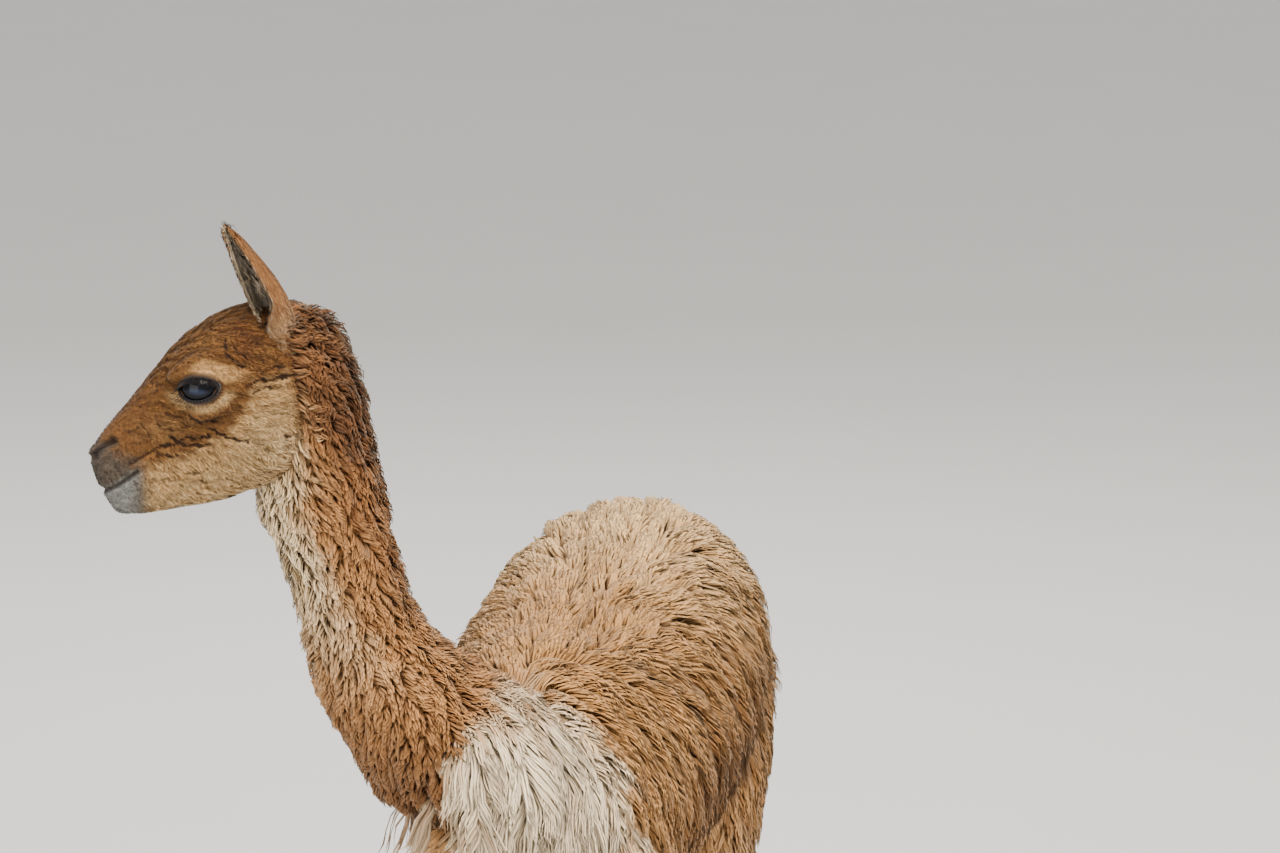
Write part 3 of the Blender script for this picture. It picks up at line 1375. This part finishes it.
def hair_material(name, roughness=0.85, sheen=0.2, streak=0.28):
    """Wool or hair: the tuft's own tone, with fine strands along it"""
    material, tree, shader = new_material(name)
    fibre = point_value(tree, "fibre", "Vector")
    stretch = add_node(tree, "ShaderNodeVectorMath", {0: fibre, 1: (6, 0.8, 1)}, operation="MULTIPLY")
    strands = grain(tree, stretch.outputs[0], 1, 1)
    limits = {"From Min": 0.3, "From Max": 0.7, "To Min": 1 - streak, "To Max": 1 + streak * 0.6}
    fill(
        tree,
        shader,
        {
            "Base Color": uneven_tone(tree, strands, limits),
            "Roughness": roughness,
            "Sheen Weight": sheen,
            "Sheen Roughness": 0.6,
            "Sheen Tint": (1, 0.86, 0.66, 1),
            "Specular IOR Level": 0.25,
            "Normal": fine_bump(tree, strands, 0.25, 1 * MM, lock_normal(tree)),
        },
    )
    return material


def nap_material():
    """Short, flat fur: the skin's tone with a fine nap"""
    material, tree, shader = new_material("short nap skin")
    place = add_node(tree, "ShaderNodeTexCoord").outputs["Object"]
    nap = grain(tree, place, 420, 3)
    fill(
        tree,
        shader,
        {
            "Base Color": uneven_tone(tree, nap, {"To Min": 0.55, "To Max": 1.15}),
            "Roughness": 0.85,
            "Sheen Weight": 0.08,
            "Specular IOR Level": 0.2,
            "Normal": fine_bump(tree, nap, 0.5, 1.2 * MM),
        },
    )
    return material


def plain_material(name, colour, roughness, fineness, unevenness, gloss=0.0):
    """One colour, a little uneven, under a clear coat as thick as the gloss says"""
    material, tree, shader = new_material(name)
    place = add_node(tree, "ShaderNodeTexCoord").outputs["Object"]
    ramp = add_node(tree, "ShaderNodeValToRGB", {"Fac": grain(tree, place, fineness, 4)})
    for stop, share in zip(ramp.color_ramp.elements, (1 - unevenness, 1 + unevenness)):
        stop.color = (*np.clip(np.array(colour) * share, 0, 1), 1)
    fill(
        tree,
        shader,
        {
            "Base Color": ramp.outputs["Color"],
            "Roughness": roughness,
            "Coat Weight": gloss,
            "Coat Roughness": 0.02,
        },
    )
    return material


def eye_material():
    """A dark glass eye in its own tone, under a clear coat"""
    material, tree, shader = new_material("dark glass eye")
    fill(
        tree,
        shader,
        {
            "Base Color": point_value(tree, "tone", "Color"),
            "Roughness": 0.12,
            "Specular IOR Level": 0.05,
            "Coat Weight": 0.2,
            "Coat Roughness": 0.01,
        },
    )
    return material


# Camera and studio

def make_camera():
    ahead = Vector(
        (
            -math.sin(CAMERA_AZIMUTH) * math.cos(CAMERA_ELEVATION),
            math.cos(CAMERA_AZIMUTH) * math.cos(CAMERA_ELEVATION),
            -math.sin(CAMERA_ELEVATION),
        )
    )
    camera = bpy.data.cameras.new("camera")
    camera.lens = CAMERA_LENS
    camera.sensor_width = 36
    camera.clip_end = 100
    holder = bpy.data.objects.new("camera", camera)
    holder.location = Vector(CAMERA_AT - PART_ORIGIN)
    holder.rotation_euler = ahead.to_track_quat("-Z", "Y").to_euler()
    bpy.context.scene.collection.objects.link(holder)
    bpy.context.scene.camera = holder


def area_light(name, at, toward, size, power, colour):
    light = bpy.data.lights.new(name, "AREA")
    light.shape = "RECTANGLE"
    light.size, light.size_y = size
    light.energy = power
    light.color = colour
    holder = bpy.data.objects.new(name, light)
    holder.location = Vector(np.array(at) - PART_ORIGIN)
    holder.rotation_euler = (Vector(toward) - Vector(at)).to_track_quat("-Z", "Y").to_euler()
    bpy.context.scene.collection.objects.link(holder)


def make_studio():
    corners = np.array([[-1, -1, 0], [1, -1, 0], [1, 1, 0], [-1, 1, 0]]) * float(FLOOR_REACH)
    finish = plain_material("pale floor", FLOOR_COLOUR, 0.9, fineness=3, unevenness=0.02)
    mesh_object("floor", corners, [(0, 1, 2, 3)], finish)
    for name, light in LIGHTS.items():
        area_light(name, *light)
    world = bpy.data.worlds.new("studio")
    bpy.context.scene.world = world
    world.use_nodes = True
    sky = world.node_tree.nodes["Background"]
    sky.inputs["Color"].default_value = SKY_COLOUR
    sky.inputs["Strength"].default_value = SKY_STRENGTH


# Eyes, lashes and nails

def eye_piece(side, material):
    """The glass ball, dark, with a dull blue glow across its lower half"""
    place = eye_frame(side)
    points, faces = ball_shell(place, [0, 0, 0], [EYE_RADIUS / MM - 0.15] * 3, 64, 48)
    eye = mesh_object(f"glass_eye_{side}", points, faces, material)
    across_ball, up, out = (transform(points, np.linalg.inv(place)) / EYE_RADIUS).T
    glow_at = np.hypot(across_ball / 0.62, (up + 0.16 - 0.12 * across_ball) / 0.2)
    streaks = 0.85 + 0.15 * np.sin(np.arctan2(up + 0.16, across_ball) * 23)
    glow = 0.6 * (1 - ease(glow_at, 0.35, 1.1)) * streaks * (out > 0)
    set_colours(eye.data, mix(EYE_BLACK, EYE_BLUE, glow))
    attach(eye, "root")
    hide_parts(f"eye_{side}")


def one_lash():
    """A thin hair of length 1 that bends as it tapers"""
    stations = np.linspace(0, 1, 6)
    middles = np.stack([0.3 * stations**2, 0 * stations, stations], -1)
    turn = np.arange(3) * TURN / 3
    ring = np.stack([np.cos(turn), np.sin(turn), 0 * turn], -1) * 0.035
    rings = middles[:-1, None] + ring[None] * (1 - 0.7 * stations[:-1])[:, None, None]
    points, faces = loft(middles[0], rings, middles[-1])
    return mesh_object("one lash", points + PART_ORIGIN, faces)


def float_socket(sockets, name=None):
    """The number socket of a node that has several kinds of sockets under one name"""
    return next(socket for socket in sockets if socket.type == "VALUE" and name in (None, socket.name))


def lash_group(lash, material):
    """Nodes that set a lash on each point, turned the point's own way, and join them all"""
    tree = bpy.data.node_groups.new("lashes", "GeometryNodeTree")
    tree.interface.new_socket("Geometry", in_out="INPUT", socket_type="NodeSocketGeometry")
    length = tree.interface.new_socket("Length", in_out="INPUT", socket_type="NodeSocketFloat")
    seed = tree.interface.new_socket("Seed", in_out="INPUT", socket_type="NodeSocketInt")
    tree.interface.new_socket("Geometry", in_out="OUTPUT", socket_type="NodeSocketGeometry")
    given = add_node(tree, "NodeGroupInput").outputs
    shape = add_node(tree, "GeometryNodeObjectInfo", {"Object": lash})
    turns = []
    for name, axis in (("way", "Z"), ("bend", "X")):
        wanted = add_node(
            tree, "GeometryNodeInputNamedAttribute", {"Name": name}, data_type="FLOAT_VECTOR",
        )
        aimed = {"Vector": wanted.outputs["Attribute"]}
        turns.append(add_node(tree, "FunctionNodeAlignRotationToVector", aimed, axis=axis))
    turns[1].pivot_axis = "Z"
    fill(tree, turns[1], {"Rotation": turns[0].outputs["Rotation"]})
    uneven = add_node(tree, "FunctionNodeRandomValue", {"Seed": given["Seed"]})
    float_socket(uneven.inputs, "Min").default_value = 0.7
    float_socket(uneven.inputs, "Max").default_value = 1.1
    factors = {0: float_socket(uneven.outputs), 1: given["Length"]}
    size = add_node(tree, "ShaderNodeMath", factors, operation="MULTIPLY")
    placed = add_node(
        tree,
        "GeometryNodeInstanceOnPoints",
        {
            "Points": given["Geometry"],
            "Instance": shape.outputs["Geometry"],
            "Rotation": turns[1].outputs["Rotation"],
            "Scale": size.outputs[0],
        },
    )
    joined = add_node(tree, "GeometryNodeRealizeInstances", {"Geometry": placed.outputs["Instances"]})
    finish = {"Geometry": joined.outputs["Geometry"], "Material": material}
    finished = add_node(tree, "GeometryNodeSetMaterial", finish)
    add_node(tree, "NodeGroupOutput", {"Geometry": finished.outputs["Geometry"]})
    return tree, length.identifier, seed.identifier


def lash_points(side):
    """Where the lashes stand on the lids, which way each points and which way it bends"""
    place = eye_frame(side)
    above = np.radians(np.linspace(12, 168, LASHES_ABOVE))
    below = np.radians(np.linspace(200, 340, LASHES_BELOW))
    turn = np.concatenate([above, below])
    upper = np.sin(turn) > 0
    x, y = 1.03 * lid_edge(turn).T
    z = np.sqrt((EYE_RADIUS + 2.1 * MM) ** 2 - np.minimum(np.hypot(x, y), EYE_RADIUS) ** 2)
    way = unit(np.stack([0.5 * np.cos(turn), np.where(upper, -0.9, -0.6), np.where(upper, 1, 0.5)], -1))
    bend = np.tile([0.0, 1.0, 0.2], (len(turn), 1))
    turned_way, turned_bend = way @ place[:3, :3].T, bend @ place[:3, :3].T
    return transform(np.stack([x, y, z], -1), place), turned_way, turned_bend


def lashes(side, group, length, seed, material):
    points, way, bend = lash_points(side)
    stems = mesh_object("stems", points, [])
    set_vectors(stems.data, "way", way)
    set_vectors(stems.data, "bend", bend)
    growing = stems.modifiers.new("lashes", "NODES")
    growing.node_group = group
    growing[length] = LASH_LENGTH
    growing[seed] = 4
    depsgraph = bpy.context.evaluated_depsgraph_get()
    mesh = bpy.data.meshes.new_from_object(stems.evaluated_get(depsgraph))
    bpy.data.objects.remove(stems)
    piece = bpy.data.objects.new(f"lashes_{side}", mesh)
    bpy.context.scene.collection.objects.link(piece)
    # The nodes leave an empty material slot before the lashes' own
    mesh.materials.clear()
    mesh.materials.append(material)
    mesh.polygons.foreach_set("material_index", [0] * len(mesh.polygons))
    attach(piece, "root")


def make_lashes():
    hair = plain_material("dark lash hair", LASH_BLACK, 0.6, fineness=200, unevenness=0.3)
    lash = one_lash()
    group, length, seed = lash_group(lash, hair)
    for side in SIDES:
        lashes(side, group, length, seed, hair)
    bpy.data.objects.remove(lash)


def nail_start(toe, angles):
    """How far along the toe a slanted plane crosses it, at each angle round it, found by halving"""
    facing = np.array([math.cos(NAIL_LEAN), 0, math.sin(NAIL_LEAN)])
    on_plane = np.array([NAIL_FORWARD, 0, NAIL_HEIGHT]) * MM
    low, high = np.full(len(angles), toe.rows[0, 0]), np.full(len(angles), toe.rows[-1, 0])
    halvings = 24
    for _ in range(halvings):
        middle = (low + high) / 2
        local = transform(toe.surface(middle, angles, NAIL_FULLNESS), toe.inverse)
        behind = (local - on_plane) @ facing < NAIL_START
        low, high = np.where(behind, middle, low), np.where(behind, high, middle)
    return high


def nail_piece(leg_name, way, material):
    """A toe's nail: the toe's end beyond a slanted plane, a little fuller than the toe"""
    toe = toes[(leg_name, way)]
    angles = np.arange(NAIL_POINTS) * TURN / NAIL_POINTS
    tip = toe.rows[-1, 0]
    shares = np.sin(np.linspace(0, math.pi / 2, NAIL_RINGS + 1))[:-1, None]
    along = nail_start(toe, angles) * (1 - shares) + tip * shares
    around = np.tile(angles, NAIL_RINGS)
    rings = toe.surface(along.ravel(), around, NAIL_FULLNESS).reshape(*along.shape, 3)
    _, aside, up = toe.section(np.array([tip]))[:3, 0]
    points, faces = loft(rings[0].mean(0), rings, transform(np.array([tip, aside, up]), toe.place))
    points[:, 2] = np.maximum(points[:, 2], 1.5 * MM)
    end = "outer" if way > 0 else "inner"
    name = leg_name.replace("leg", "nail") + "_" + end
    nail = mesh_object(f"horn_{name}", points, faces, material)
    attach(nail, "root")
    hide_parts(name)


def make_nails():
    horn = plain_material("dark horn", HORN_BLACK, 0.42, fineness=90, unevenness=0.3, gloss=0.1)
    for leg_name in STANCE:
        for way in (1, -1):
            nail_piece(leg_name, way, horn)


# The skin's tones and pieces

def lid_tones(tones):
    """Dark toward the ball, in the skin's tone further out"""
    ring = np.repeat(np.arange(len(LID_RINGS)), LID_POINTS)
    return mix(tones, EYE_BLACK, 0.97 * (1 - ease(ring, 4.0, 7.0)))


def ear_tones(points, side):
    """The ear's back in tan, its inside dark and its rim pale"""
    last = 2 * EAR_SWEEP - 1
    rings = (len(points) - 2) // (2 * EAR_SWEEP)
    slot = np.concatenate([[0], np.tile(np.arange(2 * EAR_SWEEP), rings), [0]])
    inside = (slot > EAR_SWEEP + 1) & (slot < last - 1)
    tones = np.where(inside[:, None], EAR_DARK, outer_ear_colour(points, side))
    from_edge = np.minimum(np.abs(slot - last / 2), np.minimum(slot, last - slot))
    rim = (from_edge < 2) & (slot > 0)
    return np.where(rim[:, None], EAR_RIM, tones)


def skin_tones():
    """The markings on the skin, darker in the creases, with the lids' and the ears' own tones"""
    tones = markings(skin_points)
    tones[spans["head"]] = creased(tones[spans["head"]], skin_meshes["head"][0], 0.9)
    for side in SIDES:
        lid, ear = spans[f"lid_{side}"], spans[f"ear_{side}"]
        tones[lid] = lid_tones(tones[lid])
        tones[ear] = ear_tones(skin_points[ear], side)
    return np.clip(tones * 0.8, 0, 1)


def skin_piece(name, mesh_names, tones, material, flesh):
    """Some of the skin's meshes as one piece, in place of the solids they cover"""
    span = slice(spans[mesh_names[0]].start, spans[mesh_names[-1]].stop)
    faces = [skin_meshes[own][1] + spans[own].start - span.start for own in mesh_names]
    corners = [tuple(dict.fromkeys(face)) for face in np.vstack(faces).tolist()]
    skin = mesh_object(name, skin_points[span], corners, material)
    set_colours(skin.data, tones[span])
    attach(skin, "root")
    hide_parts(*flesh)


def make_skin_pieces():
    nap, tones = nap_material(), skin_tones()
    names = list(skin_meshes)
    feet = [name.replace("leg", "foot") for name in STANCE]
    body_flesh = ["neck", "chest", "barrel", "hindquarters", "tail", *STANCE, *feet]
    head_flesh = ["head"] + [f"ear_{side}" for side in SIDES]
    skin_piece("skin", names[:2], tones, nap, body_flesh)
    skin_piece("head_skin", names[2:], tones, nap, head_flesh)


# Which way the coat lies

HEAD_BACK = -HEAD[:3, 0]
DOWN = np.array([0, 0, -1.0])


def fleece_lie(at):
    """Back along the body, and the more downward the further down the flank"""
    fall = np.clip(np.abs(at[:, 1]) / 0.13, 0, 1)
    bend = 0.45 * waves(at, 120 * MM, 31, 1)
    # From the neck's foot it parts to both sides over the shoulders
    front = 1 - ease(at[:, 0], -0.26, -0.12)
    aside = bend + 0.8 * front * np.clip(at[:, 1] / 0.05, -1, 1)
    return np.stack([1.0 - 0.55 * fall - 0.3 * front, aside, -0.2 - 1.1 * fall - 0.5 * front], -1)


def neck_lie(at):
    """Down, and round the neck toward the nape"""
    back = unit(mix([1, 0, 0], HEAD_BACK, ease(at[:, 2], 0.75, 1.05)))
    bend = 0.5 * waves(at, 60 * MM, 32, 1)
    return DOWN + back * (0.45 + bend)[:, None]


def crown_lie(at):
    """Back over the head, and a little down"""
    return unit(HEAD_BACK + 0.35 * DOWN) + 0.3 * waves(at, 40 * MM, 33, 1)[:, None]


def hanging_lie(at):
    """Straight down, with a slight bend"""
    bend = 0.2 * waves(at, 70 * MM, 34, 1)
    return np.stack([bend, bend, -np.ones(len(at))], -1)


def leg_lie(at):
    """Down the leg, and a little back"""
    bend = 0.15 * waves(at, 60 * MM, 35, 1)
    return np.stack([0.25 + bend, 0 * bend, -np.ones(len(at))], -1)


def tail_lie(at):
    """Down, and out to both sides"""
    return np.stack([0.1 + 0 * at[:, 0], 3 * at[:, 1], -np.ones(len(at))], -1)


def face_lie(at):
    """Back from the nose, and the more downward the lower on the cheek"""
    flat, _ = profile(at)
    low = ease(-flat[:, 1], 20, 90)
    return HEAD_BACK - HEAD[:3, 2] * (0.2 + 0.5 * low + 0.25 * waves(at, 40 * MM, 36, 1))[:, None]


# Where the coat is shorter

def face_size(points):
    """Short on the muzzle, round the eyes and in the creases, long at the throat and on the forehead"""
    flat, out = profile(points)
    muzzle = ease(flat[:, 0], 20, 88)
    topline = (1 - ease(out, 18, 36)) * ease(flat[:, 1] + 0.75 * flat[:, 0], -5, 20) * (1 - muzzle)
    eye = ease(np.hypot(flat[:, 0], flat[:, 1]), 20, 36)
    throat = ease(-flat[:, 0] - flat[:, 1], 110, 170)
    open_fur = 1 - 0.6 * ease(crease_depth(flat), 0.1, 1)
    return (1.05 - 0.68 * muzzle) * (0.45 + 0.55 * eye) * (1 + 0.7 * throat + 0.7 * topline) * open_fur


def fleece_size(points):
    """Short and curly on the back, longer down the flanks"""
    flank = ease(np.abs(points[:, 1]), 0.05, 0.14)
    return (0.62 + 0.48 * flank) * (1 - 0.35 * fold_share(points))


def bib_size(points):
    """Woolly at the top, long and hanging lower down"""
    return 0.5 + 0.5 * ease(0.81 - points[:, 2], 0, 0.12)


def leg_fur_size(points):
    """Short at the foot, longer under the wool of the upper leg"""
    return 0.4 + 0.6 * ease(points[:, 2], 0.03, 0.12) + 0.5 * ease(points[:, 2], 0.36, 0.46)


# The kinds of coat

NECK_WOOL = Coat(
    spacing=3.7, length=15, wide=3.6, thick=1.2, lift=12, clump=14, pull=0.42,
    curl=2.0, coil=0.9, stray=0.26, shadow=0.3,
)
FLEECE = Coat(
    spacing=4.3, length=38, wide=4.8, thick=1.2, lift=22, clump=26, pull=0.4,
    curl=2.6, coil=0.9, stray=0.12, shadow=0.18, vary=0.14,
)
BIB_HAIR = Coat(
    spacing=4.1, length=80, wide=3.8, thick=1.2, lift=15, clump=26, pull=0.44,
    curl=4, coil=1.5, stations=6, hangs=True, shadow=0.06, stray=0.2,
)
BELLY_HAIR = Coat(
    spacing=7.0, length=70, wide=5.4, thick=1.8, lift=14, clump=24, pull=0.6,
    curl=4, coil=1.2, stations=6, stray=0.2, hangs=True,
)
LEG_WOOL = Coat(
    spacing=6.0, length=34, wide=5.4, thick=1.6, lift=13, clump=20, pull=0.5,
    curl=2.4, stray=0.16, shadow=0.25,
)
LEG_FUR = Coat(
    spacing=5.0, length=15, wide=2.6, thick=1.2, lift=2.4, clump=12, pull=0.3,
    stations=3, stray=0.12, plump=0.2, shadow=0.2,
)
TAIL_HAIR = Coat(
    spacing=6.5, length=80, wide=5.4, thick=1.8, lift=12, clump=22, pull=0.6,
    curl=4, coil=1.2, stations=6, stray=0.16, hangs=True,
)
FACE_TUFTS = Coat(
    spacing=2.3, length=6, wide=1.3, thick=0.7, lift=2.3, clump=8, pull=0.3,
    stations=3, stray=0.3, plump=0.4, shadow=0.5, mottle=0.14, steep=0.9,
)
EAR_FUR = Coat(
    spacing=2.6, length=8, wide=1.5, thick=0.7, lift=1.1, clump=8, pull=0.3,
    stations=3, stray=0.14, plump=0.2, shadow=0.15,
)
EAR_HAIR = Coat(spacing=3.6, length=15, wide=1.3, thick=0.8, lift=4, clump=10, pull=0.4, stray=0.3)
EAR_EDGE = Coat(spacing=1.7, length=9, wide=1.2, thick=0.7, lift=1.6, clump=6, pull=0.3, stations=3)


# Where each coat grows

BODY_FORMS = {"torso": [torso], "neck": [neck], "tail": [tail], "leg": list(legs.values())}


def face_middles(mesh_name):
    points, faces = skin_meshes[mesh_name]
    return points[faces].mean(1)


def body_coat(name, slot, coat, wanted, lie, material, **others):
    forms = [form for own in BODY_FORMS.values() for form in own]
    coat_piece(name, slot, coat, "body", wanted, lie, forms, material, **others)


def cover_body(wool, fleece, long_hair):
    """Wool on the neck, the back and the upper legs, and long hair on the bib, belly and tail"""
    middles = face_middles("body")
    x, y, z = middles.T
    nearest = np.argmin([nearness(middles, forms) for forms in BODY_FORMS.values()], axis=0)
    on = {region: nearest == index for index, region in enumerate(BODY_FORMS)}
    open_air = nearness(middles, [skull]) > -6 * MM
    # The bib and the coats round it overlap
    bib = bib_share(middles)
    in_bib, off_bib = bib > 0.3, bib < 0.75
    underside = z <= 0.5
    neck_middle = neck.section(z)[1]
    for side in SIDES:
        own_neck = (x * 0.3 + y < neck_middle - 0.14) == (side == "left")
        body_coat(
            f"neck_wool_{side}", "neck_coat", NECK_WOOL, on["neck"] & open_air & off_bib & own_neck,
            neck_lie, wool, shades=(0.6, 1.25),
        )
        own_flank = on["torso"] & off_bib & ~underside & ((y < 0) == (side == "left"))
        for end, stretch in (("fore", x < 0.06), ("hind", x >= 0.06)):
            body_coat(
                f"fleece_{end}_{side}", "back_coat", FLEECE, own_flank & stretch,
                fleece_lie, fleece, size_at=fleece_size, shades=(0.9, 1.1),
            )
    body_coat(
        "bib_hair", "chest_coat", BIB_HAIR, in_bib & (on["torso"] | on["neck"]),
        hanging_lie, long_hair, size_at=bib_size, shades=(0.9, 1.3),
    )
    belly = on["torso"] & ~in_bib & underside
    body_coat("belly_hair", "back_coat", BELLY_HAIR, belly, hanging_lie, long_hair)
    body_coat("leg_wool", "leg_coat", LEG_WOOL, on["leg"] & (z > 0.44), leg_lie, fleece)
    body_coat("tail_hair", "tail_coat", TAIL_HAIR, on["tail"], tail_lie, long_hair)


def cover_legs(short_fur):
    height = face_middles("feet")[:, 2]
    wanted = (height > 0.012) & (height < 0.47)
    coat_piece(
        "leg_fur", "leg_coat", LEG_FUR, "feet", wanted, leg_lie, list(legs.values()), short_fur,
        size_at=leg_fur_size, shades=(0.75, 1.1),
    )


def bare_places(middles):
    """The nostrils, the lips, the deep creases and the lids have no fur"""
    flat, out = profile(middles)
    bare = (line_distance(flat, NOSTRIL) < 4.5) & (out > 3)
    bare |= line_distance(flat, MOUTH) < 2.6
    bare |= (crease_depth(flat) > 0.85) & (out > 14)
    for side in SIDES:
        local = transform(middles, np.linalg.inv(eye_frame(side)))
        near_ball = np.linalg.norm(local, axis=1) < 27 * MM
        bare |= near_ball & (almond_share(local[:, 0], local[:, 1]) < 1.4)
    return bare


def cover_head(wool, short_fur):
    """Short fur on the face, and the neck's wool on the crown and the back of the head"""
    middles = face_middles("head")
    forward, up = profile(middles)[0].T
    in_wool = (-forward + 0.18 * up > 92) & (up > -100)
    coat_piece(
        "face_fur", "face_coat", FACE_TUFTS, "head", ~bare_places(middles) & ~in_wool,
        face_lie, [skull], short_fur, size_at=face_size, shades=(0.75, 1.12), crisp=True,
    )
    coat_piece(
        "crown_wool", "neck_coat", NECK_WOOL, "head", in_wool,
        crown_lie, [skull, neck], wool, shades=(0.5, 1.4),
    )


def cover_ear(side, short_fur):
    """Short fur on the ear's back, longer hair inside it and a fringe along its edges"""
    form = ears[side]
    middles = face_middles(f"ear_{side}")
    place = np.arange(len(middles)) % (2 * EAR_SWEEP)
    along = form.locate(middles)[0]
    edge = (place == EAR_SWEEP - 1) | (place == 2 * EAR_SWEEP - 1)
    above_foot = along > 34 * MM

    def tipward(at):
        return form.place[:3, 0] + 0 * at

    def back_colour(points):
        return outer_ear_colour(points, side)

    layers = {
        "fur": (EAR_FUR, (place < EAR_SWEEP - 1) & (along > 12 * MM), back_colour),
        "hair": (EAR_HAIR, (place > EAR_SWEEP) & ~edge & above_foot, inner_hair_colour),
        "edge": (EAR_EDGE, edge & above_foot, ear_edge_colour),
    }
    for layer, (coat, wanted, colour) in layers.items():
        coat_piece(
            f"ear_{layer}_{side}", "ear_coat", coat, f"ear_{side}", wanted,
            tipward, [form], short_fur, colour=colour, shades=(0.8, 1.1),
        )


# The whole animal, in an order that keeps the random numbers as they are

make_camera()
make_studio()

skin_meshes = make_skin()
spans = spans_of(skin_meshes)
skin_points = np.vstack([points for points, _ in skin_meshes.values()])
skin_points[:, 2] = np.maximum(skin_points[:, 2], FLOOR_GAP)
skin_faces = np.vstack([faces + spans[name].start for name, (_, faces) in skin_meshes.items()])
ground = Surface(skin_points, skin_faces)
make_skin_pieces()

eye_gloss = eye_material()
for side in SIDES:
    eye_piece(side, eye_gloss)
make_lashes()
make_nails()

curly_wool = hair_material("curly wool")
long_fleece = hair_material("fleece")
long_pale_hair = hair_material("long pale hair", roughness=0.8, streak=0.14)
short_coat = hair_material("short fur", sheen=0.05, streak=0.35)
cover_body(curly_wool, long_fleece, long_pale_hair)
cover_legs(short_coat)
cover_head(curly_wool, short_coat)
for side in SIDES:
    cover_ear(side, short_coat)
